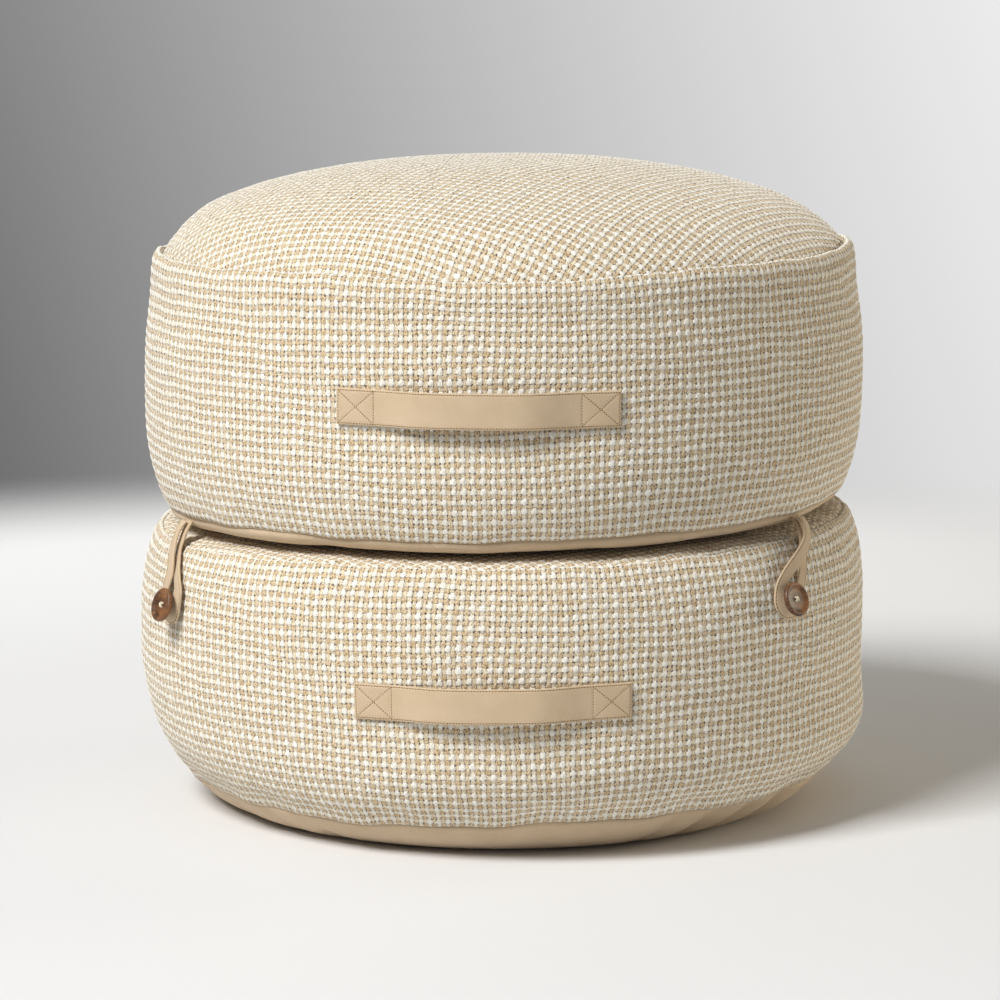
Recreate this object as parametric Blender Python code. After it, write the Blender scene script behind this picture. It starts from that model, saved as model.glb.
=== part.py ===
"""Stacked round pouf: two filled drum cushions, the upper one buttoned on top of the lower one.

Each cushion is a filled body with a woven side band, a crowned woven top panel set inside the band's
rolled edge, a canvas base panel drawn in under the hem, and a canvas carrying handle sewn to the band.
Three canvas loops are sewn under the upper cushion's hem and go over four-hole buttons on the lower band.

Metres, +Z up. The origin is the centre of the flat patch that rests on the floor, and -Y is the front.
Azimuths are in degrees round the pouf, 0 at the front and growing towards +X.
"""

import math

import bmesh
import bpy
from mathutils import Matrix, Vector
from mathutils.bvhtree import BVHTree

# ---- driving dimensions -------------------------------------------------------------------------
SEGMENTS = 40  # facets round a cushion
SHARP_ANGLE = 35.0  # edges that turn more than this, in degrees, are shaded sharp
GAP = 0.0004  # air between two pieces that touch
SEWN_GAP = 0.0007  # air between a sewn strap and the faceted band
TOP_CLOTH = 0.003  # thickness of the woven top panel
CANVAS = 0.002  # thickness of the canvas base panel
HEM_FOLD = 0.0035  # thickness of the band's turned edge at the hem

STACK_HEIGHT = 0.205  # where the upper cushion rests on the lower one
CONTACT_RADIUS = 0.185  # flat patch between the two cushions
FLOOR_RADIUS = 0.185  # flat patch on the floor
CROWN_RADIUS = 0.2375  # the upper top panel's seam
CROWN_SEAM_HEIGHT = 0.3845
CROWN_RISE = 0.0640

# Side bands, from the hem up to the rolled edge: height, radius.
LOWER_BAND = (
    (0.0280, 0.2278),
    (0.0395, 0.2378),
    (0.0560, 0.2468),
    (0.0850, 0.2526),
    (0.1250, 0.2552),
    (0.1600, 0.2540),
    (0.1820, 0.2502),
    (0.1962, 0.2444),
)
UPPER_BAND = (
    (0.2190, 0.2398),
    (0.2320, 0.2446),
    (0.2500, 0.2487),
    (0.2850, 0.2507),
    (0.3250, 0.2502),
    (0.3600, 0.2470),
    (0.3858, 0.2441),
)

# Rolled edge at the top of a band, from the band's last row over to the seam: inwards, upwards.
ROLLED_EDGE = (
    (0.0012, 0.0020),
    (0.0034, 0.0028),
    (0.0054, 0.0014),
)

# Outer face of the canvas under each cushion, from the axis to its seam: radius, height.
LOWER_BASE = (
    (0.0, 0.0),
    (FLOOR_RADIUS, 0.0),
    (0.2020, 0.0036),
    (0.2150, 0.0120),
    (0.2245, 0.0235),
)
UPPER_BASE = (
    (0.0, STACK_HEIGHT + GAP),
    (CONTACT_RADIUS, STACK_HEIGHT + GAP),
    (0.2100, 0.2062),
    (0.2260, 0.2092),
    (0.2368, 0.2158),
)

# Outer face of the woven panel on top of each cushion, from its seam to the axis: radius, height.
LOWER_TOP = (
    (0.2380, 0.1948),
    (0.2290, 0.1988),
    (0.2130, 0.2025),
    (CONTACT_RADIUS, STACK_HEIGHT),
    (0.0, STACK_HEIGHT),
)

# The upper top panel's crown, from its seam to the axis: share of its radius, share of its rise.
CROWN = (
    (1.00, 0.0),
    (0.95, 0.265),
    (0.87, 0.505),
    (0.74, 0.695),
    (0.52, 0.885),
    (0.25, 0.990),
    (0.00, 1.0),
)

# Hand-stuffed unevenness.
LEAN = 0.014  # everything above the floor patch rises towards +X by this slope
LEAN_START = 0.030  # height over which the lean sets in
APEX_SHIFT = 0.008  # the crown leans towards -X by this much at its top
SEAM_REACH = 0.035  # height over which a seam's wave dies away
SEAM_INNER = 0.190  # seam waves start outside this radius
SEAM_OUTER = 0.235

# Waves along the seams and hems: seam height, waves round, amplitude, azimuth of a crest.
SEAM_WAVES = (
    (0.0280, 1, 0.0028, 68.0),
    (0.0280, 5, 0.0014, 12.0),
    (0.1962, 1, 0.0022, 85.0),
    (0.1962, 4, 0.0012, -20.0),
    (0.2190, 6, 0.0008, 20.0),
    (0.3858, 3, 0.0016, -55.0),
    (0.3858, 6, 0.0013, -28.0),
)

# Slow bulges of the bands: height, waves round, amplitude, azimuth of a crest.
BAND_BULGES = (
    (0.1100, 3, 0.0012, 35.0),
    (0.0700, 5, 0.0009, -70.0),
    (0.0300, 0, 0.0030, 0.0),
    (0.0300, 1, 0.0080, 75.0),
    (0.3000, 2, 0.0011, 75.0),
    (0.3200, 5, 0.0009, 10.0),
)
BULGE_REACH = 0.075

HANDLE_WIDTH = 0.024
HANDLE_THICKNESS = 0.0022
HANDLE_STITCHED = 0.024  # length of each sewn end
HANDLE_LIFT = 0.0085  # how far the free middle stands off
HANDLE_STATIONS = 20

# Handles: name, the cushion that carries it, azimuth, height, length, rise towards +X.
HANDLES = (
    ("upper_handle", "upper_cushion", -4.0, 0.3042, 0.188, 0.0),
    ("lower_handle", "lower_cushion", -1.7, 0.1120, 0.184, 0.010),
)

LOOP_WIDTH = 0.0095
LOOP_THICKNESS = 0.0020
LOOP_DROP = 0.0560  # from the loop's sewn ends down to the button's centre, in the table below
LOOP_END_HEIGHT = 0.2138
LOOP_STEPS = 2  # stations between two rows of the table

# Loop's centre line, one sewn end to the other: sideways, above the button, radius, roll in degrees.
LOOP_LINE = (
    (-0.0010, 0.0560, 0.2399, 0.0),
    (-0.0014, 0.0480, 0.2466, 0.0),
    (-0.0030, 0.0390, 0.2514, 0.0),
    (-0.0062, 0.0290, 0.2541, 0.0),
    (-0.0096, 0.0190, 0.2549, 0.0),
    (-0.0116, 0.0095, 0.2556, 5.0),
    (-0.0112, -0.0005, 0.2571, 16.0),
    (-0.0066, -0.0072, 0.2580, 24.0),
    (0.0000, -0.0086, 0.2582, 25.0),
    (0.0066, -0.0070, 0.2580, 24.0),
    (0.0104, 0.0005, 0.2571, 16.0),
    (0.0108, 0.0095, 0.2556, 5.0),
    (0.0088, 0.0190, 0.2540, 0.0),
    (0.0056, 0.0290, 0.2508, 0.0),
    (0.0026, 0.0390, 0.2470, 0.0),
    (0.0010, 0.0480, 0.2418, 0.0),
    (0.0008, 0.0560, 0.2361, 0.0),
)

BUTTON_RADIUS = 0.0116
BUTTON_SEGMENTS = 24
HOLE_RADIUS = 0.00098
HOLE_SPACING = 0.0029
HOLE_SIDES = 8

# Turned button, from the middle of its back round to the middle of its face: radius, height.
BUTTON_PROFILE = (
    (0.0, 0.0),
    (0.0094, 0.0),
    (BUTTON_RADIUS, 0.0013),
    (BUTTON_RADIUS, 0.0030),
    (0.0107, 0.0041),
    (0.0091, 0.0040),
    (0.0078, 0.0031),
    (0.0, 0.0028),
)
BUTTON_FACE = 0.0028

SHANK_RADIUS = 0.0013
COLLAR_RADIUS = 0.0026
COLLAR_HEIGHT = 0.0012
SHANK_SIDES = 10
THREAD_RADIUS = 0.00055
THREAD_SIDES = 6
STITCH_WIDTH = 0.0011
STITCH_HEIGHT = 0.0008

# Fastenings: name, azimuth of the loop's sewn ends, then the button's azimuth, height, standoff of its
# back, turn round the pouf and tilt upwards (degrees), then the loop's pull: how far its left and right
# legs' feet and its middle move sideways, the share drawn together, and how far the foot and the outer leg
# stand off.
FASTENINGS = (
    ("left", -63.7, -60.3, 0.1580, 0.0104, 3.0, 18.0, (-0.0008, -0.0027, 0.0085, 0.22, 0.0022, 0.0)),
    ("right", 56.0, 48.0, 0.1640, 0.0080, 0.0, 19.0, (0.0020, 0.0020, 0.0, 0.0, 0.0, 0.0018)),
    ("back", 175.0, 173.0, 0.1600, 0.0078, 0.0, 16.0, (0.0010, -0.0010, 0.0, 0.0, 0.0, 0.0)),
)

WOVEN_COLOUR = (0.80, 0.72, 0.58, 1.0)
CANVAS_COLOUR = (0.62, 0.45, 0.27, 1.0)
WOOD_COLOUR = (0.13, 0.05, 0.02, 1.0)
THREAD_COLOUR = (0.85, 0.78, 0.66, 1.0)


# ---- small helpers ------------------------------------------------------------------------------
def clear_scene():
    for item in list(bpy.data.objects):
        bpy.data.objects.remove(item, do_unlink=True)


def make_material(name, colour, roughness):
    material = bpy.data.materials.new(name)
    material.use_nodes = True
    shader = material.node_tree.nodes["Principled BSDF"]
    shader.inputs["Base Color"].default_value = colour
    shader.inputs["Roughness"].default_value = roughness
    shader.inputs["Metallic"].default_value = 0.0
    return material


def add_object(name, mesh_builder, material):
    """A new object whose mesh is the given bmesh, with its faces turned outwards."""
    bmesh.ops.recalc_face_normals(mesh_builder, faces=mesh_builder.faces)
    mesh = bpy.data.meshes.new(name)
    mesh_builder.to_mesh(mesh)
    mesh_builder.free()
    mesh.shade_smooth()
    mesh.set_sharp_from_angle(angle=math.radians(SHARP_ANGLE))
    mesh.materials.append(material)
    item = bpy.data.objects.new(name, mesh)
    bpy.context.collection.objects.link(item)
    return item


def smooth(share):
    share = min(max(share, 0.0), 1.0)
    return share * share * (3.0 - 2.0 * share)


def on_ring(azimuth, radius, height):
    """The point at an azimuth in degrees, a radius and a height."""
    turn = math.radians(azimuth)
    return Vector((radius * math.sin(turn), -radius * math.cos(turn), height))


def settle(point):
    """Moves a point of the evenly turned pouf to where hand stuffing and use have left it."""
    radius = math.hypot(point.x, point.y)
    azimuth = math.degrees(math.atan2(point.x, -point.y))
    rise = LEAN * point.x * smooth(point.z / LEAN_START)
    outside = smooth((radius - SEAM_INNER) / (SEAM_OUTER - SEAM_INNER))
    for height, waves, amplitude, crest in SEAM_WAVES:
        near = smooth(1.0 - abs(point.z - height) / SEAM_REACH)
        rise += amplitude * near * outside * math.cos(math.radians(waves * (azimuth - crest)))
    swell = 0.0
    for height, waves, amplitude, crest in BAND_BULGES:
        near = smooth(1.0 - abs(point.z - height) / BULGE_REACH)
        swell += amplitude * near * outside * math.cos(math.radians(waves * (azimuth - crest)))
    crown = smooth((point.z - CROWN_SEAM_HEIGHT) / CROWN_RISE)
    wider = 1.0 + swell / radius if radius > 0.0 else 1.0
    return Vector((point.x * wider - APEX_SHIFT * crown, point.y * wider, point.z + rise))


# ---- turned outlines ----------------------------------------------------------------------------
def directions(line):
    """Unit tangent and inward normal at each point of an outline that keeps its body on its left."""
    found = []
    for index in range(len(line)):
        before = Vector(line[max(index - 1, 0)])
        after = Vector(line[min(index + 1, len(line) - 1)])
        tangent = (after - before).normalized()
        if line[index][0] == 0.0:
            tangent = Vector((1.0 if index == 0 else -1.0, 0.0))
        found.append((tangent, Vector((-tangent.y, tangent.x))))
    return found


def inset(line, distance):
    """The outline moved inwards by a distance."""
    return [Vector(point) + normal * distance for point, (_, normal) in zip(line, directions(line))]


def bridge(builder, lower, upper, outwards):
    """Two triangles a facet between two rings, split the same way whichever ring comes first."""
    for index in range(SEGMENTS):
        after = (index + 1) % SEGMENTS
        if len(lower) == 1:
            builder.faces.new((lower[0], upper[after], upper[index]))
        elif len(upper) == 1:
            builder.faces.new((lower[index], lower[after], upper[0]))
        elif outwards:
            builder.faces.new((lower[index], lower[after], upper[after]))
            builder.faces.new((lower[index], upper[after], upper[index]))
        else:
            builder.faces.new((lower[index], lower[after], upper[index]))
            builder.faces.new((lower[after], upper[after], upper[index]))


def turn(name, outline, material):
    """A closed body turned from an outline that starts and ends on the axis, then settled."""
    builder = bmesh.new()
    rings = []
    for radius, height in outline:
        if radius < GAP:
            rings.append([builder.verts.new(settle(Vector((0.0, 0.0, height))))])
            continue
        ring = []
        for index in range(SEGMENTS):
            place = on_ring(index * 360.0 / SEGMENTS, radius, height)
            ring.append(builder.verts.new(settle(place)))
        rings.append(ring)
    for index in range(len(rings) - 1):
        outwards = outline[index + 1][0] >= outline[index][0]
        bridge(builder, rings[index], rings[index + 1], outwards)
    return add_object(name, builder, material)


def make_panel(name, line, thickness, material):
    """A sheet of cloth whose outer face follows the line, which runs to or from the axis."""
    inner = inset(line, thickness)
    if line[0][0] == 0.0:
        outline = [Vector(point) for point in line] + inner[::-1]
    else:
        outline = inner[::-1] + [Vector(point) for point in line]
    return turn(name, outline, material)


def make_cushion(name, base, band, top, material):
    """The filled body: it lies inside its base and top panels, and its band is its visible side."""
    base_tangent, base_normal = directions(base)[-1]
    base_seam = Vector(base[-1]) + base_tangent * GAP
    outline = inset(base, CANVAS + GAP)[:-1]
    outline.append(base_seam + base_normal * (CANVAS + GAP))
    outline.append(base_seam)
    outline.append(base_seam + base_tangent * (HEM_FOLD * 0.6) - base_normal * (HEM_FOLD * 0.25))
    outline.extend(Vector((radius, height)) for height, radius in band)
    edge_height, edge_radius = band[-1]
    for inwards, upwards in ROLLED_EDGE:
        outline.append(Vector((edge_radius - inwards, edge_height + upwards)))
    top_tangent, top_normal = directions(top)[0]
    top_seam = Vector(top[0]) - top_tangent * GAP
    outline.append(top_seam)
    outline.append(top_seam + top_normal * (TOP_CLOTH + GAP))
    outline.extend(inset(top, TOP_CLOTH + GAP)[1:])
    return turn(name, outline, material)


# ---- straps -------------------------------------------------------------------------------------
def sweep(name, sections, material):
    """A closed bar through a list of sections of equally many points."""
    builder = bmesh.new()
    rings = [[builder.verts.new(point) for point in section] for section in sections]
    count = len(rings[0])
    for first, second in zip(rings, rings[1:]):
        for index in range(count):
            after = (index + 1) % count
            builder.faces.new((first[index], first[after], second[after], second[index]))
    builder.faces.new(rings[0])
    builder.faces.new(rings[-1])
    return add_object(name, builder, material)


def surface_radius(surface, azimuth, height):
    """How far from the axis a cushion's side is at an azimuth and a height."""
    outside = on_ring(azimuth, 1.0, height)
    towards_axis = on_ring(azimuth, -1.0, 0.0)
    hit, _, _, _ = surface.ray_cast(outside, towards_axis)
    return math.hypot(hit.x, hit.y)


def surface_of(item):
    return BVHTree.FromObject(item, bpy.context.evaluated_depsgraph_get())


def make_handle(name, surface, azimuth, height, length, slope, material):
    """A flat strap sewn down at both ends, with its middle standing off the band."""
    radius = surface_radius(surface, azimuth, height)
    free_length = length - 2.0 * HANDLE_STITCHED
    sections = []
    for index in range(HANDLE_STATIONS + 1):
        along = (index / HANDLE_STATIONS - 0.5) * length
        here = azimuth + math.degrees(along / radius)
        middle = height + slope * along
        share = (abs(along) - free_length / 2.0) / free_length
        lift = HANDLE_LIFT * smooth(-share / 0.3)
        section = []
        for edge, layer in ((-0.5, 0.0), (-0.5, 1.0), (0.5, 1.0), (0.5, 0.0)):
            level = middle + edge * HANDLE_WIDTH
            seat = surface_radius(surface, here, level) + SEWN_GAP + lift
            section.append(on_ring(here, seat + layer * HANDLE_THICKNESS, level))
        sections.append(section)
    return sweep(name, sections, material)


def curve_through(rows, steps):
    """Rows of a table with smooth in-between rows, on a Catmull-Rom curve."""
    found = []
    for index in range(len(rows) - 1):
        before = rows[max(index - 1, 0)]
        start = rows[index]
        end = rows[index + 1]
        after = rows[min(index + 2, len(rows) - 1)]
        for step in range(steps):
            t = step / steps
            found.append(
                tuple(
                    0.5 * (2.0 * b + (c - a) * t + (2.0 * a - 5.0 * b + 4.0 * c - d) * t * t
                           + (3.0 * b - a - 3.0 * c + d) * t * t * t)
                    for a, b, c, d in zip(before, start, end, after)
                )
            )
    found.append(rows[-1])
    return found


def pulled(side, above, radius, share, pull):
    """Where a loop's line lies sideways and from the axis once its own pull has moved it."""
    left, right, middle, squeeze, lift, apart = pull
    foot = 1.0 - smooth(above / 0.020)
    free = smooth(above / 0.024) * smooth((LOOP_DROP - above) / 0.014)
    second = smooth((share - 0.35) / 0.30)
    side = side * (1.0 - squeeze * free) + (left + (right - left) * second) * foot + middle * free
    clear = smooth((above - 0.014) / 0.020)
    return side, radius + lift * foot + apart * clear * (1.0 - second)


def make_loop(name, sewn_azimuth, azimuth, button_height, pull, material):
    """A tape from under the upper hem, slanting down round the button's shank and back up."""
    drop = LOOP_END_HEIGHT - button_height
    line = curve_through(LOOP_LINE, LOOP_STEPS)
    centres = []
    outwards = []
    rolls = []
    for step, (side, above, radius, roll) in enumerate(line):
        side, radius = pulled(side, above, radius, step / (len(line) - 1), pull)
        height = button_height + (above * drop / LOOP_DROP if above > 0.0 else above)
        here = azimuth + math.degrees(side / radius) + (sewn_azimuth - azimuth) * smooth(above / LOOP_DROP)
        centres.append(settle(on_ring(here, radius, height)))
        outwards.append(on_ring(here, 1.0, 0.0))
        rolls.append(math.radians(roll))
    sections = []
    for index, centre in enumerate(centres):
        before = centres[max(index - 1, 0)]
        after = centres[min(index + 1, len(centres) - 1)]
        tangent = (after - before).normalized()
        across = tangent.cross(outwards[index]).normalized()
        face = across.cross(tangent)
        width = across * math.cos(rolls[index]) - face * math.sin(rolls[index])
        depth = across * math.sin(rolls[index]) + face * math.cos(rolls[index])
        half_width = width * LOOP_WIDTH / 2.0
        half_depth = depth * LOOP_THICKNESS / 2.0
        sections.append(
            [
                centre - half_width - half_depth,
                centre + half_width - half_depth,
                centre + half_width + half_depth,
                centre - half_width + half_depth,
            ]
        )
    return sweep(name, sections, material)


# ---- buttons and their thread -------------------------------------------------------------------
def make_rod(name, centre, radius, sides, low, high, material):
    """An upright rod between two heights."""
    builder = bmesh.new()
    bmesh.ops.create_cone(
        builder,
        cap_ends=True,
        segments=sides,
        radius1=radius,
        radius2=radius,
        depth=high - low,
        matrix=Matrix.Translation((centre[0], centre[1], (low + high) / 2.0)),
    )
    return add_object(name, builder, material)


def make_bar(name, length, width, low, high, angle, material):
    """A flat bar through the axis, turned by an angle in degrees."""
    builder = bmesh.new()
    size = Matrix.Diagonal((length, width, high - low, 1.0))
    place = Matrix.Translation((0.0, 0.0, (low + high) / 2.0))
    bmesh.ops.create_cube(builder, size=1.0, matrix=place @ Matrix.Rotation(math.radians(angle), 4, "Z") @ size)
    return add_object(name, builder, material)


def combine(item, tools, operation):
    """Adds or cuts helper solids, which follow the item and stay out of the model."""
    for tool in tools:
        tool.hide_render = True
        tool.display_type = "WIRE"
        tool.parent = item
        modifier = item.modifiers.new(tool.name, "BOOLEAN")
        modifier.operation = operation
        modifier.solver = "EXACT"
        modifier.object = tool


def hole_places():
    half = HOLE_SPACING / 2.0
    return [(x * half, y * half) for x in (-1.0, 1.0) for y in (-1.0, 1.0)]


def make_button(name, material):
    """A turned disc with a raised rim and four holes."""
    builder = bmesh.new()
    outline = [builder.verts.new((radius, 0.0, height)) for radius, height in BUTTON_PROFILE]
    edges = [builder.edges.new(pair) for pair in zip(outline, outline[1:])]
    bmesh.ops.spin(
        builder,
        geom=outline + edges,
        cent=(0.0, 0.0, 0.0),
        axis=(0.0, 0.0, 1.0),
        angle=math.tau,
        steps=BUTTON_SEGMENTS,
    )
    bmesh.ops.remove_doubles(builder, verts=builder.verts, dist=1e-5)
    button = add_object(name, builder, material)
    drills = []
    for index, centre in enumerate(hole_places()):
        drill = make_rod(
            f"{name}_drill_{index}", centre, HOLE_RADIUS, HOLE_SIDES, -HOLE_RADIUS, 2.0 * BUTTON_FACE, material
        )
        drills.append(drill)
    combine(button, drills, "DIFFERENCE")
    return button


def make_thread(name, shank_length, inwards, material):
    """A knotted collar and wound shank behind the button, strands through its holes, a cross on its face."""
    stitch_low = BUTTON_FACE + GAP
    stitch_high = stitch_low + STITCH_HEIGHT
    collar_low = -GAP - COLLAR_HEIGHT
    thread = make_rod(name, (0.0, 0.0), COLLAR_RADIUS, SHANK_SIDES, collar_low, -GAP, material)
    shank = make_rod(
        f"{name}_shank", (0.0, 0.0), SHANK_RADIUS, SHANK_SIDES, -shank_length, collar_low / 2.0, material
    )
    shank.rotation_mode = "QUATERNION"
    shank.rotation_quaternion = Vector((0.0, 0.0, -1.0)).rotation_difference(inwards)
    tools = [shank]
    for index, centre in enumerate(hole_places()):
        strand = make_rod(
            f"{name}_strand_{index}",
            centre,
            THREAD_RADIUS,
            THREAD_SIDES,
            collar_low / 2.0,
            stitch_low + STITCH_HEIGHT / 2.0,
            material,
        )
        tools.append(strand)
    for angle in (45.0, -45.0):
        length = HOLE_SPACING * math.sqrt(2.0) + THREAD_RADIUS
        bar = make_bar(f"{name}_stitch_{angle:.0f}", length, STITCH_WIDTH, stitch_low, stitch_high, angle, material)
        tools.append(bar)
    combine(thread, tools, "UNION")
    return thread


def fasten(name, surface, sewn_azimuth, azimuth, height, standoff, swing, tilt, pull, materials):
    """One loop with its button and thread."""
    make_loop(f"loop_{name}", sewn_azimuth, azimuth, height, pull, materials["canvas"])
    settled_height = settle(on_ring(azimuth, surface_radius(surface, azimuth, height), height)).z
    band = surface_radius(surface, azimuth, settled_height)
    place = on_ring(azimuth, band + standoff, settled_height)
    facing = azimuth + swing
    turned = Matrix.Rotation(math.radians(facing), 4, "Z") @ Matrix.Rotation(math.radians(90.0 - tilt), 4, "X")
    button = make_button(f"button_{name}", materials["wood"])
    inwards = turned.to_3x3().inverted() @ on_ring(azimuth, -1.0, 0.0)
    thread = make_thread(f"thread_{name}", standoff - SEWN_GAP, inwards, materials["thread"])
    for item in (button, thread):
        item.location = place
        item.rotation_euler = turned.to_euler()


# ---- the pouf -----------------------------------------------------------------------------------
def crown_line():
    return [
        (CROWN_RADIUS * share, CROWN_SEAM_HEIGHT + CROWN_RISE * rise)
        for share, rise in CROWN
    ]


def main():
    clear_scene()
    materials = {
        "woven": make_material("woven_cloth", WOVEN_COLOUR, 0.9),
        "canvas": make_material("tan_canvas", CANVAS_COLOUR, 0.85),
        "wood": make_material("button_wood", WOOD_COLOUR, 0.45),
        "thread": make_material("button_thread", THREAD_COLOUR, 0.8),
    }
    cushions = {
        "lower_cushion": make_cushion("lower_cushion", LOWER_BASE, LOWER_BAND, LOWER_TOP, materials["woven"]),
        "upper_cushion": make_cushion("upper_cushion", UPPER_BASE, UPPER_BAND, crown_line(), materials["woven"]),
    }
    make_panel("lower_base_panel", LOWER_BASE, CANVAS, materials["canvas"])
    make_panel("upper_base_panel", UPPER_BASE, CANVAS, materials["canvas"])
    make_panel("lower_top_panel", LOWER_TOP, TOP_CLOTH, materials["woven"])
    make_panel("upper_top_panel", crown_line(), TOP_CLOTH, materials["woven"])
    surfaces = {name: surface_of(item) for name, item in cushions.items()}
    for name, carrier, azimuth, height, length, slope in HANDLES:
        make_handle(name, surfaces[carrier], azimuth, height, length, slope, materials["canvas"])
    for name, *place in FASTENINGS:
        fasten(name, surfaces["lower_cushion"], *place, materials)


main()
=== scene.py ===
"""Looks of the stacked pouf: two woven drum cushions, canvas bases and straps, loops over wooden buttons.

Metres, +Z up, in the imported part's frame. Azimuths are degrees round the pouf, 0 at the front (-Y) and
growing towards +X. A woven repeat is one white and one beige yarn across, and one float of each along.
"""

import math

import bmesh
import bpy
import numpy as np
from mathutils import Matrix, Vector


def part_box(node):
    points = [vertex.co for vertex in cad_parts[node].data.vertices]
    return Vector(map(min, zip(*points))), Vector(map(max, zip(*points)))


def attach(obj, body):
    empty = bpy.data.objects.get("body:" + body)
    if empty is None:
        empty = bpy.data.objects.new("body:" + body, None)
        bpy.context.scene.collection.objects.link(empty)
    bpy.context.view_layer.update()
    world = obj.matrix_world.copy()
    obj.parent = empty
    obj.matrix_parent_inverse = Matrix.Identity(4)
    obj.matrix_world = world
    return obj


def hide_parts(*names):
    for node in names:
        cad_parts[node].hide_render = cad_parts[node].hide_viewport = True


BODY = "root"

# ---- the pouf's own sizes -----------------------------------------------------------------------
STACK_HEIGHT = 0.205  # where the upper cushion rests on the lower one
CONTACT_RADIUS = 0.185  # flat patch between the two cushions
FLOOR_RADIUS = 0.185  # flat patch on the floor
CROWN_RADIUS = 0.2375  # the upper top panel's seam
CROWN_SEAM_HEIGHT = 0.3845
CROWN_RISE = 0.0640
CANVAS = 0.0020  # thickness of the canvas under a cushion

# Side bands, from the hem up to the rolled edge: radius, height.
LOWER_BAND = (
    (0.2278, 0.0280),
    (0.2378, 0.0395),
    (0.2468, 0.0560),
    (0.2526, 0.0850),
    (0.2552, 0.1250),
    (0.2540, 0.1600),
    (0.2502, 0.1820),
    (0.2444, 0.1962),
)
UPPER_BAND = (
    (0.2398, 0.2190),
    (0.2446, 0.2320),
    (0.2487, 0.2500),
    (0.2507, 0.2850),
    (0.2502, 0.3250),
    (0.2470, 0.3600),
    (0.2441, 0.3858),
)

# Rolled edge at the top of a band, over and down into the seam: inwards, upwards.
ROLLED_EDGE = (
    (0.0012, 0.0020),
    (0.0034, 0.0028),
    (0.0054, 0.0014),
    (0.0061, -0.0008),
    (0.0061, -0.0036),
)

# Turned edge under a band, from behind the canvas out to the band's first row: outwards, upwards from
# the canvas's seam.
TURNED_HEM = (
    (-0.0026, 0.0036),
    (-0.0010, 0.0012),
    (0.0010, 0.0000),
)

# Outer face of the canvas under each cushion, from the axis to its seam: radius, height.
LOWER_BASE = (
    (0.0, 0.0),
    (FLOOR_RADIUS, 0.0),
    (0.2020, 0.0036),
    (0.2150, 0.0120),
    (0.2245, 0.0235),
)
UPPER_BASE = (
    (0.0, 0.2054),
    (CONTACT_RADIUS, 0.2054),
    (0.2110, 0.2058),
    (0.2270, 0.2078),
    (0.2350, 0.2112),
    (0.2372, 0.2160),
)

# Woven panel on top of the lower cushion, from its seam to the axis: radius, height.
LOWER_TOP = (
    (0.2400, 0.1972),
    (0.2391, 0.1988),
    (0.2300, 0.2012),
    (0.2130, 0.2032),
    (CONTACT_RADIUS, STACK_HEIGHT),
    (0.0, STACK_HEIGHT),
)

# Crown of the upper top panel, from its seam to the axis: share of its radius, share of its rise.
CROWN = (
    (1.002, -0.045),
    (1.00, 0.0),
    (0.95, 0.265),
    (0.87, 0.505),
    (0.74, 0.695),
    (0.52, 0.885),
    (0.25, 0.990),
    (0.00, 1.0),
)

# Hand-stuffed unevenness.
LEAN = 0.014  # everything above the floor patch rises towards +X by this slope
LEAN_START = 0.030
APEX_SHIFT = 0.008  # the crown leans towards -X by this much at its top
SEAM_REACH = 0.035
SEAM_INNER = 0.190
SEAM_OUTER = 0.235

# Waves along the seams and hems: seam height, waves round, amplitude, azimuth of a crest.
SEAM_WAVES = (
    (0.0280, 1, 0.0028, 68.0),
    (0.0280, 5, 0.0014, 12.0),
    (0.1962, 1, 0.0022, 85.0),
    (0.1962, 4, 0.0012, -20.0),
    (0.2190, 6, 0.0008, 20.0),
    (0.3858, 3, 0.0016, -55.0),
    (0.3858, 6, 0.0013, -28.0),
)

# Slow bulges of the bands: height, waves round, amplitude, azimuth of a crest.
BAND_BULGES = (
    (0.1100, 3, 0.0012, 35.0),
    (0.0700, 5, 0.0009, -70.0),
    (0.0300, 0, 0.0030, 0.0),
    (0.0300, 1, 0.0080, 75.0),
    (0.3000, 2, 0.0011, 75.0),
    (0.3200, 5, 0.0009, 10.0),
)
BULGE_REACH = 0.075

# Short gathers that a sewing foot leaves along a seam: seam height, gathers round, amplitude, azimuth.
SEAM_GATHERS = (
    (0.3858, 23, 0.00035, 3.0),
    (0.3858, 41, 0.00030, 5.5),
    (0.1962, 19, 0.00045, 8.0),
    (0.1962, 37, 0.00030, 1.0),
    (0.2190, 17, 0.00045, 4.0),
    (0.2190, 31, 0.00035, 2.0),
    (0.0280, 15, 0.00100, 9.0),
    (0.0280, 29, 0.00070, 6.0),
)
GATHER_REACH = 0.016

CREST = 0.0078  # from a rolled edge's white row down into the seam
COARSE_ROWS = 4.0  # repeats above a hem whose mesh is coarser

# ---- the cloth ----------------------------------------------------------------------------------
REPEAT_ACROSS = 0.00665  # one white and one beige yarn
REPEAT_ALONG = 0.00695  # one float of each
SAMPLES = 4  # mesh points a repeat, each way
RELIEF = 0.0016  # from the bottom of a gap to the top of a white float
SUNK = 0.0012  # how far the gaps lie under the cushion's outline
WHITE_HALF = (0.330, 0.340)  # half a white float, in repeats across and along
BEIGE_HALF = (0.290, 0.255)
BEIGE_SHARE = 0.80  # how high a beige float stands against a white one
DIP_SHARE = 0.56  # how high a yarn lies between its floats
GAP_SHARE = 0.28  # how high the gap between two yarns lies
STRAY = 0.055  # how far a single float may sit from its place, in repeats
DISC_STRAY = (0.16, 0.08)  # the same for a round panel's slow and quick waves
FLOAT_LEAST = 0.92  # the smallest float against the usual one
FLOAT_SPREAD = 0.16  # from the smallest to the largest
FLOAT_SWELL = 0.70  # how much of a float's height goes with its size
HEM_HOLD = 0.10  # share of a band over which the hem holds its yarns straight
SEAM_HOLD = 0.16
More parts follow.
